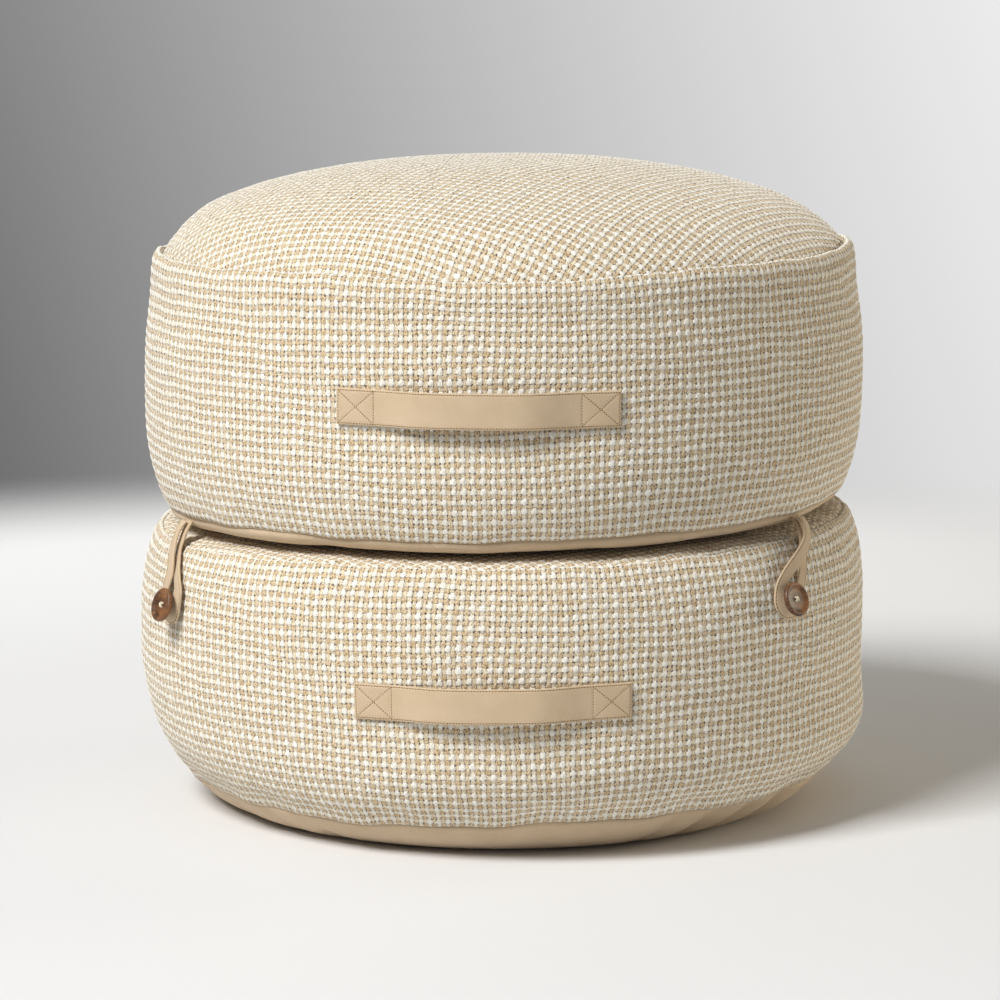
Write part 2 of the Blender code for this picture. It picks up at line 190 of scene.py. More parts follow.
HELD_STRAY = 0.3  # how much of a yarn's straying sideways is left where it is held
HEM_PRESSED = 0.0030  # bare strip at a hem, where the relief is pressed flat
SEAM_PRESSED = 0.0010
DISC_PRESSED = 0.0022
CLOSED_ABOVE_SEAM = 0.006  # where a cushion's body closes inside its hem
CLOSED_UNDER_EDGE = 0.004
WELL_UNDER = 0.2  # depth under a cloth's middle of the point that it faces away from
NEVER_ROUND = 1000.0  # more repeats than a panel has
MERGED = 1e-6  # points nearer than this are one
BAKE_STRIPS = 4
BAKE_FILL = 0.98  # share of a strip's height that the cloth takes up
BAKE_CORNER = 0.999  # where the hidden faces lie
BAKE_WIDTH = 2.02  # a little more than a panel's width, in its radii

UPPER_ROUND = 237  # repeats round the upper band
LOWER_ROUND = 236
UPPER_TOP_TURN = -29.0  # how the top panel's yarns lie, in degrees from the front
LOWER_TOP_TURN = 38.0

# How the yarns wander from their straight lines: waves round, waves up the band, amplitude in repeats,
# and where they start in radians.
WANDER = (
    (3, 0.8, 0.14, 0.4),
    (7, 1.3, 0.09, 2.1),
    (16, 2.2, 0.05, 4.0),
    (29, 3.1, 0.03, 1.2),
)

# ---- canvas under the cushions ------------------------------------------------------------------
BASE_COLUMNS = 320
BASE_RINGS = 34
BASE_CROWDING = 0.6  # below 1, so that the rings lie closer together near the seam
CREASE_START = 0.80  # share of the way out where the creases begin
CREASE_REACH = 0.10  # share of the way over which they reach their full depth
GATHERS = 11.0  # shallow gathers round the seam
GATHER_DEPTH = 0.00035
GATHERED_REACH = 0.15
# Creases of the canvas under each cushion: azimuth at the seam, then how far it leans round towards the
# axis and half its width, all in degrees, then its depth.
LOWER_CREASES = (
    (57.0, 9.0, 2.0, 0.0038),
    (48.0, 8.0, 1.4, 0.0030),
    (40.0, 7.0, 1.8, 0.0034),
    (31.0, 6.0, 1.6, 0.0020),
    (-38.0, -7.0, 1.8, 0.0018),
    (-47.0, -6.0, 1.4, 0.0013),
    (-62.0, -8.0, 2.2, 0.0012),
    (78.0, 7.0, 2.4, 0.0010),
    (101.0, -7.0, 2.0, 0.0012),
    (133.0, 6.0, 2.2, 0.0010),
    (171.0, -8.0, 2.0, 0.0013),
    (-96.0, 6.0, 2.0, 0.0010),
    (-128.0, -7.0, 2.4, 0.0013),
    (-155.0, 8.0, 1.8, 0.0009),
)
UPPER_CREASES = (
    (-28.0, 8.0, 3.0, 0.0007),
    (12.0, -8.0, 2.6, 0.0006),
    (37.0, 9.0, 2.6, 0.0008),
    (95.0, -8.0, 3.0, 0.0009),
    (150.0, 9.0, 2.6, 0.0008),
    (-110.0, -8.0, 3.0, 0.0009),
)

# ---- handles ------------------------------------------------------------------------------------
HANDLE_WIDTH = 0.024
HANDLE_THICKNESS = 0.0022
HANDLE_STITCHED = 0.024  # length of each sewn end
HANDLE_BOX = 0.0262  # from an end to the inner line of its stitched box
HANDLE_LIFT = 0.0066  # how far the free middle stands off
HANDLE_RISE = 0.3  # share of the free length over which it comes off the band
HANDLE_STEP = 0.0008  # mesh points along the strap
HANDLE_COUNT = 34  # mesh points across each face
EDGE_STEPS = 5  # mesh points round a folded edge
END_ROUND = 0.0008
SEWN_GAP = 0.0007
# Handles: cushion, azimuth, height, length, rise towards +X.
HANDLES = (
    ("upper", -4.0, 0.3042, 0.188, 0.0),
    ("lower", -1.7, 0.1120, 0.184, 0.010),
)

# ---- loops and buttons --------------------------------------------------------------------------
LOOP_WIDTH = 0.0100
LOOP_THICKNESS = 0.0020
LOOP_DROP = 0.0560
LOOP_END_HEIGHT = 0.2138
LOOP_STITCH_INSET = 0.0011
LOOP_STEP = 0.0006
LOOP_COUNT = 18
FOOT_REACH = 0.032  # height over which a leg's foot settles to its own place
MIDDLE_REACH = (0.024, 0.014)  # heights over which the middle's pull comes in, and goes out at the hem
DRAWN_START = 0.006
DRAWN_REACH = (0.030, 0.016)  # the same for drawing the legs together
APART_START = 0.014
APART_REACH = 0.020
SECOND_LEG = 0.35  # share of the line where the second leg starts to differ from the first
SECOND_REACH = 0.30
ROLL_WEIGHT = 0.0001  # so that a line's roll hardly counts in its length
# Loop's centre line, one sewn end to the other: sideways, above the button, radius, roll in degrees.
LOOP_LINE = (
    (-0.0010, 0.0560, 0.2399, 0.0),
    (-0.0014, 0.0480, 0.2466, 0.0),
    (-0.0030, 0.0390, 0.2514, 0.0),
    (-0.0062, 0.0290, 0.2541, 0.0),
    (-0.0096, 0.0190, 0.2549, 0.0),
    (-0.0116, 0.0095, 0.2556, 5.0),
    (-0.0112, -0.0005, 0.2571, 16.0),
    (-0.0066, -0.0072, 0.2580, 24.0),
    (0.0000, -0.0086, 0.2582, 25.0),
    (0.0066, -0.0070, 0.2580, 24.0),
    (0.0104, 0.0005, 0.2571, 16.0),
    (0.0108, 0.0095, 0.2556, 5.0),
    (0.0088, 0.0190, 0.2540, 0.0),
    (0.0056, 0.0290, 0.2508, 0.0),
    (0.0026, 0.0390, 0.2470, 0.0),
    (0.0010, 0.0480, 0.2418, 0.0),
    (0.0008, 0.0560, 0.2361, 0.0),
)
# Fastenings: name, azimuth of the sewn ends, then the button's azimuth, height, swing and tilt upwards,
# then the loop's pull: how far its left and right legs' feet and its middle move sideways, the share drawn
# together, and how far the foot and the outer leg stand off.
FASTENINGS = (
    ("left", -65.0, -60.3, 0.1580, 3.0, 18.0, (-0.0008, -0.0042, 0.0018, 0.80, 0.0022, 0.0)),
    ("right", 56.0, 48.0, 0.1640, 0.0, 19.0, (0.0020, 0.0020, 0.0, 0.0, 0.0, 0.0018)),
    ("back", 175.0, 173.0, 0.1600, 0.0, 16.0, (0.0010, -0.0010, 0.0, 0.0, 0.0, 0.0)),
)
BUTTON_RADIUS = 0.0116
BUTTON_THICKNESS = 0.0041
BUTTON_FACE = 0.0028
HOLE_RADIUS = 0.00098
HOLE_SPACING = 0.0029
SHANK_RADIUS = 0.0013
SHANK_LENGTH = {"left": 0.0097, "right": 0.0073, "back": 0.0071}
STRAND_RADIUS = 0.00042
STRAND_ARCH = 0.00055  # how far the lower pair of strands stands off a button's face
STRAND_CROSSING = 0.00045  # how far the upper pair stands over the lower one
STRAND_SPACING = 1.9  # from one strand of a pair to the other, in strand radii
STRAND_ENDS = (0.0006, 0.0018)  # heights of a strand's last two points inside the button
STRAND_LIFT = 0.0001
COIL_START = 0.0004  # how far behind a button's back its thread is first wound
CORE_START = 0.0002
COIL_FLARE = 0.7  # how much wider the winding is there
ROD_LENGTH = 0.02
# Turned button, from the middle of its back round to the middle of its face: radius, height.
BUTTON_PROFILE = (
    (0.0, 0.0),
    (0.0090, 0.0),
    (0.0101, 0.0002),
    (0.0110, 0.0008),
    (0.01155, 0.0016),
    (BUTTON_RADIUS, 0.0024),
    (0.01135, 0.0034),
    (0.0108, 0.0040),
    (0.0102, 0.0041),
    (0.0095, 0.0039),
    (0.0087, 0.0034),
    (0.0078, 0.0030),
    (0.0066, 0.0028),
    (0.0, 0.0028),
)

# ---- stitching ----------------------------------------------------------------------------------
STITCH_PITCH = 0.0019
STITCH_LENGTH = 0.0013
STITCH_RADIUS = 0.00020
STITCH_INSET = 0.0013  # from a strap's edge
STITCH_SINK = 0.00030  # how deep a line of stitches draws the canvas in
STITCH_REACH = 0.00070
STITCH_SIDES = 6
# Along a stitch, in its lengths, and how thick it is there.
STITCH_STATIONS = ((-0.5, 0.15), (-0.36, 0.85), (0.0, 1.0), (0.36, 0.85), (0.5, 0.15))
NEEDLE_HOLE = 0.00050
HOLE_RIM = 0.00002  # how far a needle hole's rim and middle stand off the sunk canvas
HOLE_TIP = 0.00018

# ---- marks in the materials ---------------------------------------------------------------------
# In the yarns: how many marks fit one repeat of 6.65 by 6.95 mm, across and along.
RAGGED = (4.6, 4.6)  # tufts of 1.5 mm at a yarn's edge
STRANDS = (11.0, 2.8)  # fibres of 0.6 by 2.5 mm in a white yarn
TWISTS = (9.0, 4.2)  # slanting fibres of 0.7 by 1.7 mm in a beige one
HUSKS = (8.5, 7.0)  # brown husks of 0.8 by 1 mm
PATCHES = (2.7, 2.3)  # patches of 2.5 by 3 mm where the painted shade of crevices and holes stays dark
SLUBS = (1.3, 0.16)  # thick places 5 mm wide and 43 mm long
RAGGED_REACH = 0.20  # how far a yarn's outline strays, in repeats
FIBRE_SPREAD = (0.36, 0.60)  # marks from the darkest to the lightest fibre
FIBRE_SHARE = 0.22  # height of the fibres against a white float
FLOAT_SIZES = (1.10, 0.92)  # what a float's half size is divided by, smallest float to largest
WHITE_EDGE = (0.95, 1.04)  # where a float ends, in its half sizes
BEIGE_EDGE = (0.94, 1.04)
CREVICE_PLACE = 1.07  # middle of the thin line of painted shade round a float, in its half sizes
CREVICE_REACH = 0.10
HOLE_SIZE = (0.04, 0.13)  # from a hole's middle to where its painted shade starts and stops fading, in repeats
GAP_SHADED = (0.32, 0.54)  # heights between which the painted brown shade of a gap fades
WEAVE_BUMP = 0.0012
# In the others: how many marks to a metre, and so how large one is.
TWILL_LINE = 0.0009  # from one line to the next
TWILL_WAVE = 0.314  # the wave texture's scale for one line a metre
CANVAS_MOTTLES = 55.0  # 18 mm
CANVAS_GRAINS = 1400.0  # 0.7 mm
CANVAS_CRINKLES = (520.0, 900.0, 1.0)  # 1.9 by 1.1 mm
SHELL_STREAKS = (90.0, 620.0, 300.0)  # 11 mm long and 1.6 mm wide
SHELL_PATCHES = 120.0  # 8 mm
THREAD_PLIES = 2500.0  # 0.4 mm
HOLE_MOTTLES = 900.0  # 1.1 mm

# ---- camera and light ---------------------------------------------------------------------------
CAMERA_PLACE = (-0.0021, -2.8316, 0.6491)
CAMERA_DOWN = 8.875  # degrees below level
CAMERA_LENS = 145.67
CAMERA_SENSOR = 36.0
KEY_PLACE = (-2.36, -2.46, 3.86)
KEY_AIM = (0.0, 0.0, 0.20)
KEY_SIZE = (1.7, 1.7)
KEY_POWER = 292.0
SIDE_PLACE = (2.42, 0.90, 0.50)
SIDE_AIM = (0.0, 0.0, 0.30)
SIDE_SIZE = (1.2, 0.6)
SIDE_POWER = 25.0
SIDE_TINT = (1.0, 0.88, 0.66)
BACK_PLACE = (-0.45, 1.45, 1.50)
BACK_AIM = (-0.45, 1.05, 0.0)
BACK_SIZE = (1.8, 0.5)
BACK_POWER = 2.3
BACK_SPREAD = 65.0  # degrees, so that it lights the floor behind the pouf and little else
FLOOR_SIZE = 2.4
FLOOR_FADE = (1.10, 1.60)  # from the axis, where the floor starts and stops fading
ROOM_LIGHT = 0.20
WALL_SHADE = 0.07
WALL_LIGHT = 0.90


# ---- lines --------------------------------------------------------------------------------------
def smooth(share):
    share = np.clip(share, 0.0, 1.0)
    return share * share * (3.0 - 2.0 * share)


class Line:
    """A smooth line through a few points, read by the distance along it."""

    def __init__(self, points, steps=40):
        points = np.array(points, float)
        chord = np.append(0.0, np.cumsum(np.linalg.norm(np.diff(points, axis=0), axis=1)))
        slope = np.gradient(points, chord, axis=0)
        secant = np.diff(points, axis=0) / np.diff(chord)[:, None]
        before = np.concatenate([secant[:1], secant])
        after = np.concatenate([secant, secant[-1:]])
        limit = 3.0 * np.minimum(np.abs(before), np.abs(after)) * (before * after >= 0.0)
        slope = np.clip(slope, -limit, limit)
        found = [points[:1]]
        for index in range(len(points) - 1):
            gap = chord[index + 1] - chord[index]
            t = (np.arange(steps) + 1.0)[:, None] / steps
            first = (2 * t**3 - 3 * t**2 + 1) * points[index] + (t**3 - 2 * t**2 + t) * gap * slope[index]
            last = (3 * t**2 - 2 * t**3) * points[index + 1] + (t**3 - t**2) * gap * slope[index + 1]
            found.append(first + last)
        self.points = np.concatenate(found)
        step = np.linalg.norm(np.diff(self.points, axis=0), axis=1)
        self.lengths = np.append(0.0, np.cumsum(step))
        self.length = self.lengths[-1]

    def at(self, distance):
        return np.stack([np.interp(distance, self.lengths, c) for c in self.points.T], -1)

    def tangent(self, distance, reach=0.0006):
        ahead = self.at(np.clip(distance + reach, 0.0, self.length))
        behind = self.at(np.clip(distance - reach, 0.0, self.length))
        run = ahead - behind
        return run / np.linalg.norm(run, axis=-1, keepdims=True)


def on_ring(azimuth, radius, height):
    turn = np.radians(azimuth)
    azimuth, radius, height = np.broadcast_arrays(azimuth, radius, height)
    return np.stack([radius * np.sin(turn), -radius * np.cos(turn), height], -1)


def seam_lift(height, azimuth, rows, reach):
    """Sum of the waves of a table at each height and azimuth."""
    total = np.zeros(np.shape(height))
    for level, waves, amplitude, crest in rows:
        near = smooth(1.0 - np.abs(height - level) / reach)
        total += amplitude * near * np.cos(np.radians(waves * (azimuth - crest)))
    return total


def settle(points):
    """Moves points of the evenly turned pouf to where hand stuffing and use have left them."""
    x, y, z = points[..., 0], points[..., 1], points[..., 2]
    radius = np.hypot(x, y)
    azimuth = np.degrees(np.arctan2(x, -y))
    outside = smooth((radius - SEAM_INNER) / (SEAM_OUTER - SEAM_INNER))
    rise = LEAN * x * smooth(z / LEAN_START)
    rise = rise + outside * seam_lift(z, azimuth, SEAM_WAVES, SEAM_REACH)
    rise = rise + outside * seam_lift(z, azimuth, SEAM_GATHERS, GATHER_REACH)
    swell = outside * seam_lift(z, azimuth, BAND_BULGES, BULGE_REACH)
    crown = smooth((z - CROWN_SEAM_HEIGHT) / CROWN_RISE)
    wider = 1.0 + swell / np.maximum(radius, 1e-6)
    return np.stack([x * wider - APEX_SHIFT * crown, y * wider, z + rise], -1)


def scatter(first, second, seed):
    """An even number from 0 to 1 for each pair of whole numbers."""
    mixed = np.sin(first * 12.9898 + second * 78.233 + seed * 37.719) * 43758.5453
    return mixed - np.floor(mixed)


# ---- meshes -------------------------------------------------------------------------------------
def grid_faces(rows, columns, start=0, closed=False):
    """Quads between the points of a grid stored row by row; closed joins its last column to its first."""
    across = columns if closed else columns - 1
    row, column = np.meshgrid(np.arange(rows - 1), np.arange(across), indexing="ij")
    after = (column + 1) % columns
    near, far = row * columns, (row + 1) * columns
    corners = (near + column, near + after, far + after, far + column)
    return start + np.stack(corners, -1).reshape(-1, 4)


def link_mesh(name, mesh, *materials):
    """Puts a mesh in the scene as an object of the given name, with its materials."""
    for material in materials:
        mesh.materials.append(material)
    made = bpy.data.objects.new(name, mesh)
    bpy.context.scene.collection.objects.link(made)
    return made


def new_object(name, points, faces, materials, maps=None, face_materials=None):
    """faces is a list of corner lists. maps holds UV maps by name, one row for each corner."""
    mesh = bpy.data.meshes.new(name)
    mesh.from_pydata(points, [], faces, shade_flat=False)
    for map_name, places in (maps or {}).items():
        layer = mesh.uv_layers.new(name=map_name)
        layer.uv.foreach_set("vector", np.ascontiguousarray(places, np.float32).ravel())
    made = link_mesh(name, mesh, *materials)
    if face_materials:
        mesh.polygons.foreach_set("material_index", face_materials)
    mesh.update()
    return made


def corner_lists(parts):
    """The faces of several arrays of corners as one list."""
    return [tuple(face) for part in parts for face in part.tolist()]


def face_outwards(made, merge_distance=0.0):
    """Joins points that lie on each other, if a distance is given, and turns every face outwards."""
    builder = bmesh.new()
    builder.from_mesh(made.data)
    if merge_distance:
        bmesh.ops.remove_doubles(builder, verts=builder.verts, dist=merge_distance)
    bmesh.ops.recalc_face_normals(builder, faces=builder.faces)
    builder.to_mesh(made.data)
    builder.free()


def turn_out(made):
    """Turns the faces over if they look towards a point on the pouf's axis well under the cloth."""
    mesh = made.data
    middles = np.empty(len(mesh.polygons) * 3, np.float32)
    normals = np.empty(len(mesh.polygons) * 3, np.float32)
    mesh.polygons.foreach_get("center", middles)
    mesh.polygons.foreach_get("normal", normals)
    middles = middles.reshape(-1, 3)
    outwards = middles - (0.0, 0.0, middles[:, 2].mean() - WELL_UNDER)
    if float((outwards * normals.reshape(-1, 3)).sum()) < 0.0:
        mesh.flip_normals()


def finish_piece(made, replaced):
    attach(made, BODY)
    if replaced:
        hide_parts(*replaced)


# ---- woven cloth --------------------------------------------------------------------------------
def float_height(across, along, shift, half, seed):
    """How round a yarn's float stands at each place, 0 outside it and about 1 on its top."""
    column = np.floor(across - shift[0] + 0.5)
    row = np.floor(along - shift[1] + 0.5)
    thick = FLOAT_LEAST + FLOAT_SPREAD * scatter(column, row, seed)
    x = np.abs(across - shift[0] - column) / (half[0] * thick)
    y = np.abs(along - shift[1] - row) / (half[1] * thick)
    swell = (1.0 - FLOAT_SWELL) + FLOAT_SWELL * thick
    return np.sqrt(np.clip(1.0 - x**4 - y**4, 0.0, 1.0)) * swell


def woven_relief(across, along):
    """How far the cloth stands out at each place given in repeats, in metres."""
    white = float_height(across, along, (0.0, 0.0), WHITE_HALF, 1.0)
    beige = BEIGE_SHARE * float_height(across, along, (0.5, 0.5), BEIGE_HALF, 2.0)
    aside = np.abs(across * 2.0 - np.round(across * 2.0)) * 2.0
    dip = GAP_SHARE + (DIP_SHARE - GAP_SHARE) * np.sqrt(np.clip(1.0 - aside**2, 0.0, 1.0))
    return RELIEF * np.maximum.reduce([white, beige, dip]) - SUNK


def stray_by(across, along, count, seed):
    """An even, smooth number from -1 to 1 that changes from float to float; count is the repeats round."""
    column, row = np.floor(across), np.floor(along)
    x, y = smooth(across - column), smooth(along - row)
    near, far = np.mod(column, count), np.mod(column + 1.0, count)
    low = scatter(near, row, seed) * (1.0 - x) + scatter(far, row, seed) * x
    high = scatter(near, row + 1.0, seed) * (1.0 - x) + scatter(far, row + 1.0, seed) * x
    return 2.0 * (low * (1.0 - y) + high * y) - 1.0


def wander(across, along, round_count, rows, seed):
    """How far the yarns stray at each place, in repeats."""
    share = along / rows
    stray = STRAY * stray_by(across, along, round_count, seed)
    for waves, up, amplitude, phase in WANDER:
        turn = 2.0 * np.pi * (waves * across / round_count + up * share)
        stray = stray + amplitude * np.sin(turn + phase + seed)
    return stray


def band_line(seam, band):
    """From behind the canvas round the turned hem, up the band, over its rolled edge and into the seam."""
    hem = [(seam[0] + outwards, seam[1] + upwards) for outwards, upwards in TURNED_HEM]
    edge_radius, edge_height = band[-1]
    rolled = [(edge_radius - inwards, edge_height + upwards) for inwards, upwards in ROLLED_EDGE]
    return Line([*hem, *band, *rolled])


def cloth_points(line, azimuth, distance, proud):
    """Settled points of a cloth that a line turned round the axis gives, standing proud of that line."""
    place = line.at(distance)
    tangent = line.tangent(distance)
    radius = np.maximum(place[..., 0] + tangent[..., 1] * proud, 0.0)
    height = place[..., 1] - tangent[..., 0] * proud
    return settle(on_ring(azimuth, radius, height)).reshape(-1, 3)


def band_levels(length):
    """The mesh's levels up a band in repeats, 0 at the rolled edge's white row, and coarse near its hem."""
    crest = length - CREST
    hem = -crest / REPEAT_ALONG
    first = -int(crest / REPEAT_ALONG * SAMPLES) / SAMPLES
    fine = np.arange(first + COARSE_ROWS, 0.5, 1.0 / SAMPLES)
    coarse = np.arange(first, first + COARSE_ROWS, 2.0 / SAMPLES)
    coarse = coarse[coarse > hem + 0.1]
    return np.concatenate([[hem], coarse, fine, [(length - crest) / REPEAT_ALONG]])


def band_points(line, up, round_count):
    """Points of a woven band, level by level; its yarns are held straight at the hem and the seam."""
    rows = up[-1] - up[0]
    along, across = np.meshgrid(up, np.arange(round_count * SAMPLES) / SAMPLES, indexing="ij")
    share = (along - up[0]) / rows
    free = smooth(share / HEM_HOLD) * smooth((1.0 - share) / SEAM_HOLD)
    sideways = wander(across, along, round_count, rows, 0.0)
    upwards = wander(across, along, round_count, rows, 2.5)
    azimuth = (across + (HELD_STRAY + (1.0 - HELD_STRAY) * free) * sideways) * 360.0 / round_count
    distance = line.length - CREST + (along + free * upwards) * REPEAT_ALONG
    distance = np.clip(distance, 0.0, line.length)
    from_hem = smooth((distance - HEM_PRESSED) / HEM_PRESSED)
    from_seam = smooth((line.length - distance - SEAM_PRESSED) / (2.0 * SEAM_PRESSED))
    return cloth_points(line, azimuth, distance, woven_relief(across, along) * from_hem * from_seam)


def band_maps(up, columns, round_count):
    """A band's places in repeats, and the same in four strips one above the other, for baking."""
    row, column = np.meshgrid(np.arange(len(up) - 1), np.arange(columns), indexing="ij")
    u = np.stack([column, column + 1, column + 1, column], -1) / SAMPLES
    v = np.stack([up[row], up[row], up[row + 1], up[row + 1]], -1)
    weave = np.stack([u, v], -1).reshape(-1, 2)
    strip = np.floor(np.repeat(column.reshape(-1), 4) * BAKE_STRIPS / columns)
    bake_u = weave[:, 0] * BAKE_STRIPS / round_count - strip
    bake_v = (strip + BAKE_FILL * (weave[:, 1] - up[0]) / (up[-1] - up[0])) / BAKE_STRIPS
    return weave, np.stack([bake_u, bake_v], -1)


def make_band(name, seam, band, round_count, material):
    """A cushion's filled body: its side is the woven band, closed by plain cloth under its two panels."""
    line = band_line(seam, band)
    up = band_levels(line.length)
    points = band_points(line, up, round_count)
    low = settle(np.array([[0.0, 0.0, seam[1] + CLOSED_ABOVE_SEAM]]))
    high = settle(np.array([[0.0, 0.0, band[-1][1] - CLOSED_UNDER_EDGE]]))
    columns = round_count * SAMPLES
    centre = len(points)
    ring = np.arange(columns)
    after = (ring + 1) % columns
    last = (len(up) - 1) * columns
    side = grid_faces(len(up), columns, closed=True)
    under = np.stack([np.full(columns, centre), after, ring], -1)
    over = np.stack([np.full(columns, centre + 1), last + ring, last + after], -1)
    weave, bake = band_maps(up, columns, round_count)
    hidden = np.zeros((2 * columns * 3, 2))
    maps = {
        "Weave": np.concatenate([weave, hidden]),
        "OFBake": np.concatenate([bake, hidden + BAKE_CORNER]),
    }
    points = np.concatenate([points, low, high])
    made = new_object(name, points, corner_lists([side, under, over]), [material], maps)
    turn_out(made)
    return made


def disc_places(reach):
    """A lattice of places in repeats wide enough for a round panel, and where its yarns really lie."""
    count_across = int(reach / REPEAT_ACROSS * SAMPLES) + 2
    count_along = int(reach / REPEAT_ALONG * SAMPLES) + 2
    steps_across = np.arange(-count_across, count_across + 1) / SAMPLES
    steps_along = np.arange(-count_along, count_along + 1) / SAMPLES
    along, across = np.meshgrid(steps_along, steps_across, indexing="ij")
    slow, quick = DISC_STRAY
    stray_x = slow * np.sin(across * 0.11 + along * 0.07) + quick * np.sin(along * 0.31 + 1.0)
    stray_y = slow * np.sin(along * 0.10 - across * 0.06 + 2.0) + quick * np.sin(across * 0.27)
    stray_x = stray_x + STRAY * stray_by(across, along, NEVER_ROUND, 6.0)
    stray_y = stray_y + STRAY * stray_by(across, along, NEVER_ROUND, 7.0)
    return across, along, (across + stray_x) * REPEAT_ACROSS, (along + stray_y) * REPEAT_ALONG


def make_woven_disc(name, line, turn, material):
    """A round panel cut on the bias: a lattice along the yarns, clipped to the seam and laid on the crown."""
    reach = line.length
    across, along, flat_x, flat_y = disc_places(reach)
    cosine, sine = math.cos(math.radians(turn)), math.sin(math.radians(turn))
    x = cosine * flat_x - sine * flat_y
    y = sine * flat_x + cosine * flat_y
    rho = np.hypot(x, y)
    azimuth = np.degrees(np.arctan2(x, -y))
    distance = reach - np.minimum(rho, reach)
    proud = woven_relief(across, along) * smooth(distance / DISC_PRESSED)
    points = cloth_points(line, azimuth, distance, proud)
    quads = grid_faces(*across.shape)
    quads = quads[(rho.reshape(-1)[quads] < reach).any(1)]
    used, where = np.unique(quads, return_inverse=True)
    quads = where.reshape(-1, 4)
    weave = np.stack([across, along], -1).reshape(-1, 2)[used]
    flat = np.stack([x, y], -1).reshape(-1, 2)[used] / (BAKE_WIDTH * reach) + 0.5
    maps = {"Weave": weave[quads.ravel()], "OFBake": np.clip(flat, 0.0, 1.0)[quads.ravel()]}
    made = new_object(name, points[used], corner_lists([quads]), [material], maps)
    turn_out(made)
    return made


# ---- canvas -------------------------------------------------------------------------------------
def make_base(name, line, wrinkles, material):
    """A canvas disc under a cushion, two faces and a sewn edge, with the creases drawn in at its seam."""
    columns, rings = BASE_COLUMNS, BASE_RINGS
    share = np.linspace(0.0, 1.0, rings) ** BASE_CROWDING
    round_about = np.arange(columns) * 360.0 / columns
    distance, azimuth = np.meshgrid(share * line.length, round_about, indexing="ij")
    trough = wrinkles(azimuth, distance / line.length)
    outer = grid_faces(rings, columns, closed=True)
    inner = outer + rings * columns
    edge = np.arange(columns) + (rings - 1) * columns
    after = (np.arange(columns) + 1) % columns + (rings - 1) * columns
    sewn = np.stack([edge, after, after + rings * columns, edge + rings * columns], -1)
    layers = [cloth_points(line, azimuth, distance, -(depth + trough)) for depth in (0.0, CANVAS)]
    turn = np.radians(azimuth)
    flat = np.stack([distance * np.sin(turn), -distance * np.cos(turn)], -1).reshape(-1, 2)
    flat = np.concatenate([flat, flat])
    faces = [outer[:, ::-1], inner, sewn]
    maps = {"Cloth": np.concatenate([flat[part.ravel()] for part in faces])}
    made = new_object(name, np.concatenate(layers), corner_lists(faces), [material], maps)
    face_outwards(made, MERGED)
    return made


def creases(rows):
    """A function of azimuth and share of the way out that sums a table's soft troughs."""

    def depth(azimuth, share):
        gathered = smooth((share - CREASE_START) / GATHERED_REACH)
        total = GATHER_DEPTH * np.sin(np.radians(azimuth * GATHERS)) * gathered
        for at_seam, lean, width, deep in rows:
            middle = at_seam - lean * (1.0 - share) / (1.0 - CREASE_START)
            away = (azimuth - middle + 180.0) % 360.0 - 180.0
            drawn = smooth((share - CREASE_START) / CREASE_REACH)
            total += deep * np.exp(-((away / width) ** 2)) * drawn
        return total

    return depth


def side_radius(line, azimuth, height):
    """How far from the axis a settled band is at each azimuth and height."""
    first = np.argmin(line.points[:, 1])
    last = np.argmax(line.points[:, 1])
    rising = line.points[first : last + 1]
    level = np.zeros(np.shape(azimuth)) + height
    radius = np.interp(level, rising[:, 1], rising[:, 0])
    for _ in range(4):
        settled = settle(on_ring(azimuth, radius, level))
        level = level - (settled[..., 2] - height)
        radius = np.interp(level, rising[:, 1], rising[:, 0])
    settled = settle(on_ring(azimuth, radius, level))
    return np.hypot(settled[..., 0], settled[..., 1])


def folded_edge(middle, radius, turn):
    return np.stack([middle + radius * np.cos(turn), radius + radius * np.sin(turn)], -1)


def strap_section(width, thickness, count):
    """A flat strap's outline, outer face first: across, outwards. Its two edges are folded round."""
    radius = thickness / 2.0
    half = width / 2.0 - radius
    face = np.linspace(half, -half, count)
    turn = np.linspace(90.0, 270.0, EDGE_STEPS + 2)[1:-1]
    left = folded_edge(-half, radius, np.radians(turn))
    right = folded_edge(half, radius, np.radians(turn + 180.0))
    outer = np.stack([face, np.full(count, thickness)], -1)
    inner = np.stack([face[::-1], np.zeros(count)], -1)
    return np.concatenate([outer, left, inner, right])


def distance_to(segments, x, y):
    """How far each place is from the nearest of a list of stitch lines."""
    nearest = np.full(np.shape(x), 1.0)
    for (x0, y0), (x1, y1) in segments:
        run = math.hypot(x1 - x0, y1 - y0)
        ahead, side = (x1 - x0) / run, (y1 - y0) / run
        along = np.clip((x - x0) * ahead + (y - y0) * side, 0.0, run)
        nearest = np.minimum(nearest, np.hypot(x - x0 - along * ahead, y - y0 - along * side))
    return nearest


